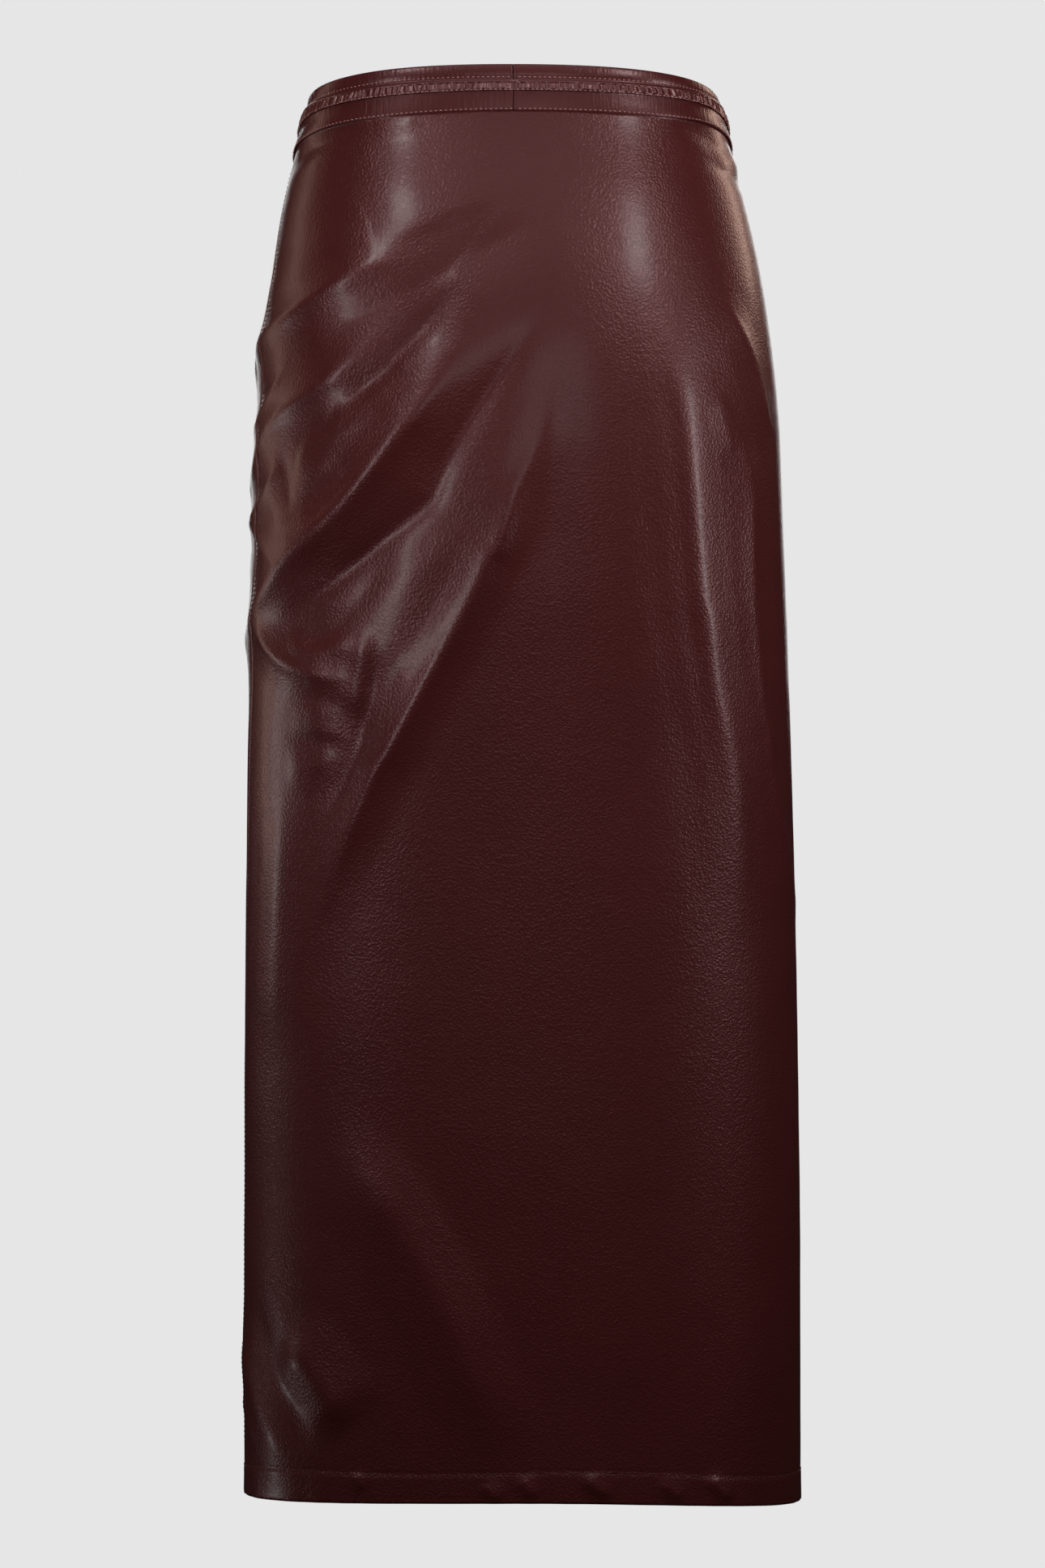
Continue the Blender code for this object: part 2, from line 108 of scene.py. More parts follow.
# The folds. Each has a name, its height outwards, negative for a trough, how blunt its crest is,
# its half widths on the left and right hand of someone walking along it, the share of its height
# that it has at its first point, and its points (across, down) from the origin, as seen square-on
# from its own side. All lengths are in millimetres
BACK_FOLDS = (
    ("drape 1", 5.0, 3.0, 20, 12, 0.5, ((-170, 163), (-155, 146), (-103, 115), (-84, 107), (-67, 95))),
    ("drape 2", 3.0, 3.0, 18, 8, 0.5, ((-171, 240), (-161, 211), (-149, 197), (-113, 175), (-81, 143))),
    ("first hollow", -3.4, 4.0, 13, 26, 0.0, ((-132, 147), (-87, 133), (-12, 92), (22, 77))),
    ("drape 3", -4.2, 3.5, 9, 10, 0.0, ((-123, 203), (-86, 174), (-79, 165), (-48, 133), (-32, 122))),
    ("drape 4", 5.4, 4.0, 18, 11, 0.25,
     ((-175, 331), (-143, 288), (-126, 273), (-87, 229), (-71, 208), (-64, 201), (-40, 166),
      (-34, 145))),
    ("valley", -5.4, 2.5, 15, 12, 0.0,
     ((-159, 332), (-147, 322), (-130, 311), (-65, 260), (-54, 246), (-47, 230), (-29, 199), (9, 142),
      (22, 126))),
    ("drape 5", -2.2, 3.5, 13, 12, 0.0,
     ((-150, 321), (-141, 329), (-129, 335), (-119, 332), (-101, 314), (-93, 300), (-73, 274))),
    ("drape 6", 3.4, 2.5, 21, 9, 0.0,
     ((-147, 555), (-128, 510), (-118, 492), (-113, 476), (-91, 423), (-76, 398), (-32, 316),
      (-21, 290), (-14, 279), (-4, 249), (7, 224), (16, 196), (20, 169))),
    ("second loop", 3.8, 2.0, 7, 8, 0.2,
     ((-168, 324), (-153, 345), (-135, 356), (-112, 360), (-102, 356))),
    ("first loop", 2.0, 2.0, 5, 6, 0.0, ((-148, 334), (-128, 345), (-109, 339), (-101, 332))),
    ("loop side", 2.0, 3.0, 9, 8, 0.0, ((-96, 328), (-102, 373), (-107, 387))),
    ("deep trough", -2.8, 3.0, 8, 9, 0.0,
     ((-88, 325), (-92, 367), (-98, 392), (-101, 407), (-118, 443), (-129, 453))),
    ("loop belly", 1.7, 8.0, 9, 9, 0.0, ((-126, 373), (-126, 385), (-127, 400))),
    ("short ridge", 1.1, 4.0, 7, 8, 0.0, ((-148, 414), (-133, 414), (-121, 411), (-112, 405))),
    ("left fall", 2.6, 8.0, 13, 12, 0.0, ((-148, 422), (-151, 508), (-156, 603))),
    ("middle fall", -1.6, 3.0, 14, 18, 0.0, ((24, 323), (17, 255), (20, 196), (25, 168), (33, 144))),
    ("right fall", 4.0, 8.0, 12, 14, 0.0,
     ((136, 542), (134, 517), (130, 424), (117, 360), (113, 326), (108, 302), (99, 208), (93, 175),
      (92, 143), (89, 131), (76, 108))),
    ("right furrow", -1.2, 3.0, 12, 8, 0.0,
     ((114, 422), (108, 357), (102, 323), (95, 239), (87, 180), (77, 133))),
    ("right hip", 2.4, 1.5, 14, 7, 0.0, ((157, 210), (150, 192), (143, 164), (128, 135), (120, 124))),
    ("right edge", 2.8, 1.5, 12, 6, 0.0,
     ((177, 519), (167, 482), (154, 416), (152, 395), (148, 372), (142, 300), (142, 242), (138, 222),
      (124, 193), (119, 176))),
    ("hem sweep", 3.8, 12.0, 15, 12, 0.0, ((-5, 846), (-31, 789), (-44, 755), (-79, 691), (-122, 634))),
    ("hem corner", 2.4, 9.0, 12, 12, 0.5, ((-179, 775), (-159, 822), (-133, 853))),
    ("hem patch", 4.4, 10.0, 14, 11, 0.0, ((-150, 768), (-133, 785), (-104, 824))),
    ("hem furrow", -2.2, 8.0, 9, 10, 0.0, ((-172, 740), (-153, 794), (-126, 840))),
)
FRONT_FOLDS = (
    ("drape 1", 3.4, 1.5, 9, 14, 0.5, ((-173, 168), (-156, 150), (-136, 136), (-112, 124), (-82, 112))),
    ("drape 2", 3.6, 1.5, 9, 14, 0.5,
     ((-174, 240), (-158, 216), (-138, 196), (-112, 178), (-84, 164), (-56, 150))),
    ("drape 3", 3.4, 2.5, 9, 13, 0.5, ((-174, 290), (-152, 262), (-122, 236), (-88, 206), (-52, 178))),
    ("drape 4", 5.5, 2.0, 11, 15, 0.5,
     ((-176, 338), (-156, 314), (-124, 286), (-88, 248), (-50, 204), (-20, 172))),
    ("valley", -3.6, 3.0, 14, 14, 0.0, ((-150, 336), (-112, 312), (-74, 274), (-38, 226))),
    ("drape 5", 3.6, 2.0, 14, 14, 0.0,
     ((-152, 364), (-128, 360), (-96, 338), (-62, 292), (-28, 240), (4, 190))),
    ("drape 6", 4.0, 2.0, 12, 18, 0.0,
     ((-134, 546), (-100, 466), (-64, 384), (-30, 314), (2, 252), (18, 196))),
    ("right fall", 3.4, 2.0, 14, 12, 0.0,
     ((88, 118), (102, 190), (114, 280), (128, 380), (140, 470), (148, 590))),
    ("right edge", 2.4, 2.0, 8, 10, 0.0, ((146, 290), (150, 360), (160, 440), (170, 510))),
    ("hem sweep", 2.0, 18.0, 14, 14, 0.0, ((-130, 640), (-96, 690), (-64, 750), (-34, 830))),
    ("hem corner", 2.2, 6.0, 10, 10, 0.0, ((146, 690), (130, 760), (110, 830))),
)

# The small creases, bulges and puckers between the back's folds, in the same columns
BACK_CREASES = (
    ("crest 1", 1.0, 2.0, 6, 5, 0.5, ((-165, 155), (-155, 145), (-103, 114), (-84, 106), (-75, 100))),
    ("crest 2", 0.8, 2.0, 6, 5, 0.5, ((-161, 210), (-149, 196), (-139, 191), (-113, 174), (-95, 156))),
    ("crest 4", 1.6, 4.0, 8, 7, 0.5,
     ((-164, 315), (-143, 287), (-126, 272), (-87, 228), (-45, 174), (-37, 155))),
    ("crest 6", 3.3, 2.5, 8, 7, 0.0,
     ((-127, 508), (-118, 491), (-113, 475), (-91, 422), (-76, 397), (-32, 315), (-21, 289),
      (-14, 278), (-4, 248), (7, 223), (15, 196))),
    ("crease 2", 1.6, 1.0, 6, 5, 0.5, ((-170, 207), (-165, 201), (-149, 173), (-142, 164))),
    ("pocket ridge", 2.0, 1.0, 7, 6, 0.5, ((-171, 263), (-154, 235), (-146, 228))),
    ("pocket hollow", -1.5, 4.0, 7, 7, 0.0, ((-153, 219), (-147, 232), (-142, 262))),
    ("pocket belly", 1.2, 9.0, 11, 11, 0.0, ((-140, 222), (-128, 229), (-121, 239))),
    ("pocket foot", 2.0, 1.0, 7, 6, 0.5, ((-172, 258), (-160, 278), (-152, 286), (-146, 296))),
    ("pocket arc", 0.8, 1.5, 6, 6, 0.0,
     ((-159, 268), (-143, 272), (-128, 268), (-117, 258), (-110, 246))),
    ("bulge 3", 0.6, 9.0, 12, 12, 0.0, ((-118, 200), (-108, 205), (-103, 214))),
    ("pocket furrow", -1.6, 2.0, 7, 8, 0.0, ((-98, 224), (-118, 254), (-133, 265))),
    ("seat dimple", -1.2, 12.0, 14, 14, 0.0, ((-48, 77), (-41, 92), (-30, 102))),
    ("plateau glint", 0.5, 8.0, 10, 10, 0.0, ((-128, 295), (-125, 307), (-125, 322))),
    ("right branch", 0.9, 1.5, 5, 5, 0.0, ((130, 226), (124, 204), (120, 184))),
    ("pucker 1", 1.7, 1.2, 5, 3, 0.0, ((38, 848), (45, 856), (55, 863))),
    ("pucker 2", 1.9, 1.2, 5, 3, 0.0, ((114, 850), (120, 859), (129, 868))),
    ("pucker 3", 1.4, 1.2, 5, 3, 0.0, ((83, 853), (91, 859), (98, 866))),
    ("pucker 4", 1.3, 1.2, 4, 3, 0.0, ((-1, 849), (3, 856), (9, 863))),
    ("pucker 5", 1.2, 1.2, 4, 3, 0.0, ((-24, 853), (-19, 859), (-13, 864))),
    ("pucker 6", 1.1, 1.2, 4, 3, 0.0, ((-104, 848), (-100, 855), (-96, 859))),
    ("hem edge", 0.9, 1.0, 4, 4, 0.5, ((-177, 811), (-171, 826), (-165, 843))),
)

# Creases right under the waistband at the back, in the same columns
BAND_CREASES = (
    ("left shade", -1.4, 4.0, 4, 4, 0.5, ((-143, 38), (-128, 29), (-108, 22), (-93, 19))),
    ("left glint", 0.5, 5.0, 4, 4, 0.0, ((-94, 22), (-76, 20), (-60, 18))),
    ("right shade", -1.2, 4.0, 4, 4, 0.0, ((90, 19), (108, 22), (124, 31), (132, 39))),
    ("right bulge", 1.5, 5.0, 5, 5, 0.5, ((140, 42), (126, 35), (114, 30))),
    ("right crease", -1.0, 1.5, 4, 4, 0.5, ((140, 49), (126, 44), (110, 41))),
)

# How a fold is drawn: steps between two of its points, the share of its length over which it
# rises and dies away, its reach and the run-out of its foot in half widths, and the stretch
# under the waistband over which it grows
FOLD_STEPS = 6
FOLD_FADE = 0.30
FOLD_REACH = 3.0
FOLD_RUN_OUT = 1.5
FOLD_FREE_TOP = 26 * MM

# The leather's unevenness: the sizes of its slow and quick swells, and the quick ones' share
SLOW_SWELL = 70 * MM
QUICK_SWELL = 24 * MM
QUICK_SHARE = 0.35


# Sizes and colours that a user would change


def length(name, default_mm, description):
    """A length property up to 5 m, given in millimetres."""
    return bpy.props.FloatProperty(name=name, description=description, default=default_mm * MM,
                                   min=0.0, max=5.0, unit="LENGTH", precision=5)


def fraction(name, default, description):
    """A property between 0 and 1."""
    return bpy.props.FloatProperty(name=name, description=description, default=default,
                                   min=0.0, max=1.0, subtype="FACTOR")


def colour(name, hex_text, description):
    """A colour property, given as sRGB hex."""
    return bpy.props.FloatVectorProperty(name=name, description=description, subtype="COLOR",
                                         size=4, default=linear(hex_text), min=0.0, max=1.0)


def linear(hex_text):
    """A hex sRGB colour as linear red, green, blue and alpha."""
    parts = np.array([int(hex_text[i:i + 2], 16) for i in (1, 3, 5)]) / 255
    bright = np.where(parts <= 0.04045, parts / 12.92, ((parts + 0.055) / 1.055) ** 2.4)
    return tuple(float(value) for value in bright) + (1.0,)


class ClothSettings(bpy.types.PropertyGroup):
    """The cloth's own sizes."""
    cloth: length("Cloth", 1.5, "Thickness of a panel's leather with its backing")
    hem_facing: length("Hem facing", 1.3, "Extra thickness where the hem is turned up")
    hem_turn_up: length("Hem turn-up", 18.7, "Depth of the turned-up hem")
    band_cloth: length("Waistband", 2.2, "Thickness of the folded waistband")
    waver: length("Waver", 0.28, "How far the leather wavers between its folds")
    ruche_depth: length("Ruching", 1.15, "Depth of the gathers in the raised strip")


class LeatherSettings(bpy.types.PropertyGroup):
    """Colour and gloss of the leather."""
    deep: colour("Deep colour", "#481a1a", "The leather's darker tone")
    light: colour("Light colour", "#511f1f", "The leather's lighter tone")
    backing: colour("Backing", "#3a1c1a", "The brushed back of the leather")
    grain: length("Grain", 1.5, "Size of one grain cell")
    gloss_roughness: fraction("Roughness", 0.34, "Roughness of the top coat")
    gloss_tint: colour("Gloss tint", "#ffcbcd", "Colour that the pigmented coat lends to reflections")
    coat: fraction("Coat", 0.15, "Share of thin clear polish on the top coat")
    coat_roughness: fraction("Coat roughness", 0.20, "Roughness of the polish")


class SewingSettings(bpy.types.PropertyGroup):
    """The topstitching."""
    # The waist thread's colour is lighter than the thread itself: a painted glint, so that its stitches
    # read as bright dots
    waist_thread_painted_glint: colour("Waist thread", "#b98480", "Glossy thread of the waistband")
    hem_thread: colour("Hem thread", "#4d2322", "Thread of hem and side seam, in the leather's tone")
    pitch: length("Pitch", 3.1, "From one stitch to the next")
    stitch: length("Stitch", 1.7, "Length of thread that shows in one stitch")
    thread: length("Thread width", 0.6, "Width of the thread")


class StudioSettings(bpy.types.PropertyGroup):
    """Floor, backdrop, lights and camera."""
    floor_drop: length("Floor", 1040, "How far the floor lies under the waist")
    paper: colour("Paper", "#e6e6e6", "Pale studio background")
    camera_distance: length("Camera distance", 3400, "From the camera to the skirt's middle")
    camera_drop: length("Camera drop", 425.5, "How far the camera is below the waist")
    focal_mm: bpy.props.FloatProperty(name="Focal length", description="Lens, in millimetres",
                                      default=123.6, min=20.0, max=300.0)


# The figure's surface


def eased(at, knots, values):
    """A natural cubic spline through the knots."""
    gap = np.diff(knots)
    climb = np.diff(values) / gap
    system = np.eye(len(knots))
    target = np.zeros(len(knots))
    for i in range(1, len(knots) - 1):
        system[i, i - 1:i + 2] = gap[i - 1], 2 * (gap[i - 1] + gap[i]), gap[i]
        target[i] = 6 * (climb[i] - climb[i - 1])
    bend = np.linalg.solve(system, target)
    at = np.clip(at, knots[0], knots[-1])
    cell = np.clip(np.searchsorted(knots, at, side="right") - 1, 0, len(knots) - 2)
    here, there = at - knots[cell], knots[cell + 1] - at
    width = gap[cell]
    curve = (bend[cell] * there ** 3 + bend[cell + 1] * here ** 3) / (6 * width)
    start = (values[cell] / width - bend[cell] * width / 6) * there
    end = (values[cell + 1] / width - bend[cell + 1] * width / 6) * here
    return curve + start + end


def read_off(columns, rows, name, at):
    """One named column of a table, read at places in its first column."""
    knots = np.array([row[0] for row in rows], float)
    values = np.array([row[columns.index(name)] for row in rows], float)
    return eased(at, knots, values)


def rise(t):
    """A soft step from 0 to 1."""
    t = np.clip(t, 0, 1)
    return t * t * (3 - 2 * t)


def bump(gap, height, width):
    """A soft bell, as high as given at no gap and fading over the width."""
    return height * np.exp(-(gap / width) ** 2)


def waves(turn, height, count, drift, drift_count):
    """Waves round the skirt, closer together in some places than in others."""
    return height * np.sin(turn * count + drift * np.sin(turn * drift_count))


def section(name, height):
    """A size of the figure's ring at a height, in millimetres."""
    return read_off(SECTION_COLUMNS, SECTIONS, name, height / MM)


def waist_line(name, turn):
    """The height of one of the waistband's lines at a turn."""
    wrapped = (turn + np.pi) % (2 * np.pi) - np.pi
    return read_off(WAIST_COLUMNS, WAIST_LINES, name, np.degrees(wrapped)) * MM


def seam_turn(side, height):
    """The turn of the left or right side seam at a height."""
    return np.radians(read_off(SEAM_COLUMNS, SEAMS, side, height / MM))


def bluntness(turn, height):
    """How far a squarish ring reaches past the plain ellipse at a turn."""
    square = section("square", height)
    return (np.abs(np.sin(turn)) ** square + np.abs(np.cos(turn)) ** square) ** (-1 / square)


def figure_point(turn, height):
    """The point of the smooth figure at a turn and a height."""
    turn, height = np.broadcast_arrays(turn, height)
    left = section("left", height) * MM
    right = section("right", height) * MM
    behind = np.cos(turn) > 0
    depth = np.where(behind, section("back", height), section("front", height)) * MM
    blunt = bluntness(turn, height)
    x = (right - left) / 2 + (left + right) / 2 * np.sin(turn) * blunt
    y = -depth * np.cos(turn) * blunt
    return np.stack([x, y, height], -1)


def outward(turn, height):
    """The unit direction that points straight out of the figure."""
    small = 1e-3
    round_it = figure_point(turn + small, height) - figure_point(turn - small, height)
    up_it = figure_point(turn, height + small) - figure_point(turn, height - small)
    normal = np.cross(round_it, up_it)
    return normal / np.linalg.norm(normal, axis=-1, keepdims=True)


def turn_at(across, height, side):
    """The turn at which the figure lies a distance across, on its back or front."""
    sweep = np.radians(np.linspace(-90, 90, 361))
    reach = figure_point(sweep, np.full_like(sweep, height))[:, 0]
    turn = np.interp(across, reach, sweep)
    return turn if side == "back" else np.pi - turn


def walk_along(points):
    """The length walked from the first point to each one."""
    return np.concatenate([[0], np.cumsum(np.linalg.norm(np.diff(points, axis=0), axis=1))])


# Folds


def smooth_trail(points, steps):
    """Points along a Catmull-Rom curve through the given points."""
    points = np.array(points, float)
    ends = np.vstack([2 * points[0] - points[1], points, 2 * points[-1] - points[-2]])
    trail = []
    for i in range(1, len(ends) - 2):
        before, here, there, after = ends[i - 1:i + 3]
        for t in np.arange(steps) / steps:
            trail.append(0.5 * (2 * here + (there - before) * t
                                + (2 * before - 5 * here + 4 * there - after) * t ** 2
                                + (3 * here - before - 3 * there + after) * t ** 3))
    trail.append(points[-1])
    return np.array(trail)


def fold_lift(points, side, fold):
    """How far one fold lifts each point of the figure."""
    _, height, tip, wide_left, wide_right, start, line = fold
    trail = smooth_trail(line, FOLD_STEPS) * MM
    turns = np.array([turn_at(across, -down, side) for across, down in trail])
    spine = figure_point(turns, -trail[:, 1])
    facing = outward(turns, -trail[:, 1])
    reach = FOLD_REACH * max(wide_left, wide_right) * MM
    lift = np.zeros(len(points))
    near_box = ((points > spine.min(0) - reach) & (points < spine.max(0) + reach)).all(1)
    points = points[near_box]
    if not len(points):
        return lift
    run = np.diff(spine, axis=0)
    walked = walk_along(spine)
    length_of = np.diff(walked)
    apart = points[:, None, :] - spine[None, :-1]
    share = np.clip((apart * run).sum(-1) / length_of ** 2, 0, 1)
    apart = apart - share[..., None] * run
    gap = np.linalg.norm(apart, axis=-1)
    near = gap.argmin(1)
    each = np.arange(len(points))
    right_hand = np.cross(run, facing[:-1])
    to_right = (apart[each, near] * right_hand[near]).sum(-1) > 0
    width = np.where(to_right, wide_right, wide_left) * MM
    along = (walked[near] + share[each, near] * length_of[near]) / walked[-1]
    from_start = start + (1 - start) * rise(along / FOLD_FADE)
    strength = from_start * rise((1 - along) / FOLD_FADE)
    away = gap[each, near]
    rounded = np.sqrt(away ** 2 + (tip * MM) ** 2) - tip * MM
    profile = np.exp(-rounded / width) * rise((FOLD_REACH - away / width) / FOLD_RUN_OUT)
    lift[near_box] = height * MM * strength * profile
    return lift


def folds_lift(points, side, folds):
    """How far some folds of the back or front lift each point together."""
    return sum(fold_lift(points, side, fold) for fold in folds)


def waver(points, size):
    """Slow unevenness of the leather, so that no highlight has a ruled edge."""
    slow = np.array([noise.noise(tuple(point)) for point in points / SLOW_SWELL])
    quick = np.array([noise.noise(tuple(point)) for point in points / QUICK_SWELL])
    return size * (slow + QUICK_SHARE * quick)


def cloth_surface(turn, height, cloth):
    """The panels' outer surface with all its folds, and the way it faces."""
    figure = figure_point(turn, height)
    facing = outward(turn, height)
    flat = figure.reshape(-1, 3)
    lift = folds_lift(flat, "back", BACK_FOLDS + BACK_CREASES)
    lift = lift + folds_lift(flat, "front", FRONT_FOLDS) + waver(flat, cloth.waver)
    grown = rise((waist_line("foot", turn) - height) / FOLD_FREE_TOP)
    close = folds_lift(flat, "back", BAND_CREASES).reshape(turn.shape)
    lift = lift.reshape(turn.shape) * grown + close
    return figure + facing * lift[..., None], facing


# The hem's edge: its level, how far the back is higher and the front lower, and its dips at the
# sides
HEM_LEVEL = -867.5 * MM
HEM_TILT = 1.5 * MM
HEM_DIP_LEFT = 4.5 * MM
HEM_DIP_RIGHT = 8.7 * MM

# The hem's relief: its rounded edge, the sways of its depth, the doubled leather's soft step, the
# stitched groove's depth and width, and the quilting under it, as the values of its waves
HEM_ROUND = 1.2 * MM
HEM_SWAY = 0.05
HEM_SWAYS = 5
HEM_STEP = 1.2 * MM
HEM_SWELL = 0.35 * MM
HEM_GROOVE = (0.30 * MM, 1.1 * MM)
QUILTING = (0.22 * MM, 38, 2, 9)

# The gap between two pieces at a seam, and the depth and width of the leather's dip along it
SEAM_GAP = 0.006 * MM
SEAM_DIP = (0.6 * MM, 1.6 * MM)

# The panels' points: columns, rows above the hem and how far the columns crowd to one seam, how
# far the rows crowd to the waistband, the finer rows at the hem, the rounds in which turns and
# heights settle, and every how many rows the inner skin has one
BACK_GRID = (200, 300, 0.25)
FRONT_GRID = (130, 230, -0.20)
ROW_CROWDING = 0.30
HEM_FINE_DEPTH = 34 * MM
HEM_FINE_ROWS = 26
HEM_FINE_CROWDING = 1.25
GRID_ROUNDS = 4
INNER_ROW_STEP = 5


def hem_height(turn):
    """The height of the skirt's lower edge at a turn."""
    blunt = bluntness(turn, np.full_like(turn, HEM_LEVEL))
    sideways, backwards = np.sin(turn) * blunt, np.cos(turn) * blunt
    dip = np.where(sideways < 0, HEM_DIP_LEFT, HEM_DIP_RIGHT)
    return HEM_LEVEL + HEM_TILT * backwards - dip * sideways ** 2


def hem_depth(turn, cloth):
    """The depth of the turned-up hem at a turn, slightly uneven."""
    return cloth.hem_turn_up * (1 + HEM_SWAY * np.sin(HEM_SWAYS * turn))


def gap_turn(height):
    """Half of a seam's gap, as a turn at the side of the figure."""
    return SEAM_GAP / 2 / (np.minimum(section("back", height), section("front", height)) * MM)


def back_edges(height):
    """The turns of the back panel's two side edges."""
    gap = gap_turn(height)
    return seam_turn("left", height) + gap, seam_turn("right", height) - gap


def front_edges(height):
    """The turns of the front panel's two side edges, going on round from the right seam."""
    gap = gap_turn(height)
    return seam_turn("right", height) + gap, seam_turn("left", height) + 2 * np.pi - gap


def crowded(count, crowding):
    """Places from 0 to 1, closer together at the start, or at the end if crowding is negative."""
    even = np.linspace(0, 1, count + 1)
    return (1 - crowding) * even + crowding * even ** 2


def quarter_round(from_edge, radius):
    """How far a rounded edge sinks at a distance from it."""
    cut = np.clip(radius - from_edge, 0, radius)
    return radius - np.sqrt(radius ** 2 - cut ** 2)


# Meshes


def quads(grid):
    """The four-cornered faces of a grid of vertex numbers."""
    corners = np.stack([grid[:-1, :-1], grid[1:, :-1], grid[1:, 1:], grid[:-1, 1:]], -1)
    return corners.reshape(-1, 4).tolist()


def new_object(name, data):
    """An object in the scene."""
    made = bpy.data.objects.new(name, data)
    bpy.context.collection.objects.link(made)
    return made


def new_piece(name, points, faces, materials):
    """A smooth mesh object with its materials."""
    mesh = bpy.data.meshes.new(name)
    mesh.from_pydata(points.tolist(), [], [[int(corner) for corner in face] for face in faces])
    mesh.shade_smooth()
    mesh.update()
    for material in materials:
        mesh.materials.append(material)
    return new_object(name, mesh)


def shell(name, outer, inner, kept_rows, materials):
    """A closed thin shell: a fine outer skin in the first material, and an inner skin on some of
    its rows in the last one."""
    rows, columns = outer.shape[:2]
    out = np.arange(rows * columns).reshape(rows, columns)
    within = rows * columns + np.arange(len(kept_rows) * columns).reshape(len(kept_rows), columns)
    outer_faces = quads(out)
    inner_faces = [face[::-1] for face in quads(within)]
    rim_faces = quads(np.stack([within[0], out[0]], 1)) + quads(np.stack([out[-1], within[-1]], 1))
    for k, (i, following) in enumerate(zip(kept_rows, kept_rows[1:])):
        rim_faces.append([*out[i:following + 1, 0][::-1], within[k, 0], within[k + 1, 0]])
        rim_faces.append([*out[i:following + 1, -1], within[k + 1, -1], within[k, -1]])
    points = np.vstack([outer.reshape(-1, 3), inner.reshape(-1, 3)])
    piece = new_piece(name, points, outer_faces + inner_faces + rim_faces, materials)
    slots = np.zeros(len(piece.data.polygons), np.int32)
    slots[len(outer_faces):len(outer_faces) + len(inner_faces)] = len(materials) - 1
    piece.data.polygons.foreach_set("material_index", slots)
    return piece


def declare(piece, nodes):
    """Fix a piece to the skirt's body and let it stand for its solids."""
    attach(piece, BODY)
    if nodes:
        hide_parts(*nodes)


def panel_grid(edges, across, rows):
    """The turn and height of each point of a panel, and its height over the hem's edge."""
    down = crowded(rows, ROW_CROWDING)[:, None]
    fine = np.linspace(1, 0, HEM_FINE_ROWS + 1)[1:, None] ** HEM_FINE_CROWDING
    first, last = edges(np.array([HEM_LEVEL / 2]))
    turn = first + (last - first) * across[None, :]
    for _ in range(GRID_ROUNDS):
        top = waist_line("foot", turn[0]) - SEAM_GAP
        foot = hem_height(turn[-1])
        above = foot + HEM_FINE_DEPTH
        height = np.vstack([top + (above - top) * down, foot + HEM_FINE_DEPTH * fine])
        first, last = edges(height)
        turn = first + (last - first) * across
    return turn, height, height - foot


def panel_piece(name, edges, grid, cloth, materials):
    """A panel with its folds, from the waistband's foot to the turned-up hem."""
    columns, rows, crowding = grid
    across = crowded(columns, crowding)
    turn, height, from_foot = panel_grid(edges, across, rows)
    outer, facing = cloth_surface(turn, height, cloth)
    depth = hem_depth(turn[-1], cloth)
    doubled = 1 - rise((from_foot - depth) / HEM_STEP + 0.5)
    groove = bump(from_foot - depth, *HEM_GROOVE)
    quilted = waves(turn, *QUILTING) * rise(1 - from_foot / depth)
    rounded = quarter_round(from_foot, HEM_ROUND)
    middle = outer[len(outer) // 2]
    from_seam = np.minimum(across, 1 - across) * np.linalg.norm(middle[1] - middle[-1])
    seam_dip = bump(from_seam, *SEAM_DIP)
    sunk = groove + rounded + seam_dip - HEM_SWELL * doubled - quilted
    thickness = cloth.cloth + cloth.hem_facing * doubled - rounded
    outer = outer - facing * sunk[..., None]
    kept = sorted({*range(0, rows + 1, INNER_ROW_STEP), *range(rows, rows + HEM_FINE_ROWS + 1)})
    inner = (outer - facing * thickness[..., None])[kept]
    return shell(name, outer, inner, kept, materials)


# The waistband's lines, its rows of points between them and near both edges, and its columns,
# which crowd towards the centre back seam
BAND_LINES = ("rim", "roll", "stitch", "foot")
BAND_ROWS = (10, 4, 14)
BAND_EDGE_ROWS = (0.02, 0.05, 0.09)
BAND_GRID = {"back_left": 240, "back_right": 240, "front": 420}
PINCH_CROWDING = 1.3

# Each stretch runs from a first turn to a last one and may be pinched at one end
Stretch = namedtuple("Stretch", "name first last pinched_end")

# The centre back seam, where the left half tucks under the right one
SEAM_TUCK = 1.0 * MM
SEAM_SLOT = 0.35 * MM
SEAM_DEPTH = 1.4 * MM

# The waistband's relief: its swells between the lines, the flare of its foot at the back's sides,
# which ends at a cosine of the turn, its stitched groove's depth and width, its rounded edges, and
# its crinkles, as the values of their waves, the count of their groups and their middle share
BAND_PUFF = 1.4 * MM
TOP_PUFF = 0.5 * MM
LOW_PUFF = 0.2 * MM
FOOT_FLARE = 1.7 * MM
FLARE_START = 2.2
FLARE_RUN = 0.75
FLARE_END = -0.2
BAND_GROOVE = (0.25 * MM, 0.06)
RIM_ROUND = 1.0 * MM
FOOT_ROUND = 0.35 * MM
CRINKLES = (0.16 * MM, 310, 3, 41)
CRINKLE_GROUPS = 67
CRINKLE_MIDDLE = 0.25

# The raised strip across its width: how far it stands off the figure, in millimetres, and its
# share of the gathers
STRIP_COLUMNS = ("place", "off", "gather")
STRIP_SECTION = (
    (0.00, 0.7, 0.0),
    (0.10, 1.5, 0.0),
    (0.19, 2.3, 0.0),
    (0.26, 2.7, 0.0),
    (0.33, 2.4, 0.4),
    (0.42, 2.5, 1.0),
    (0.62, 2.75, 1.0),
    (0.84, 2.95, 1.0),
    (1.00, 2.5, 0.7),
)
STRIP_ROWS = 18
STRIP_ROW_CROWDING = 0.9
STRIP_GRID = {"back_left": 800, "back_right": 800, "front": 700}
STRIP_BED = 0.2 * MM
STRIP_THIN = 0.35 * MM

# Where the strip is caught in the centre back seam: its gap, its fullness and how soon that grows
PINCH_GAP = 0.5 * MM
PINCH_FULLNESS = 0.45
PINCH_RUN = 6 * MM

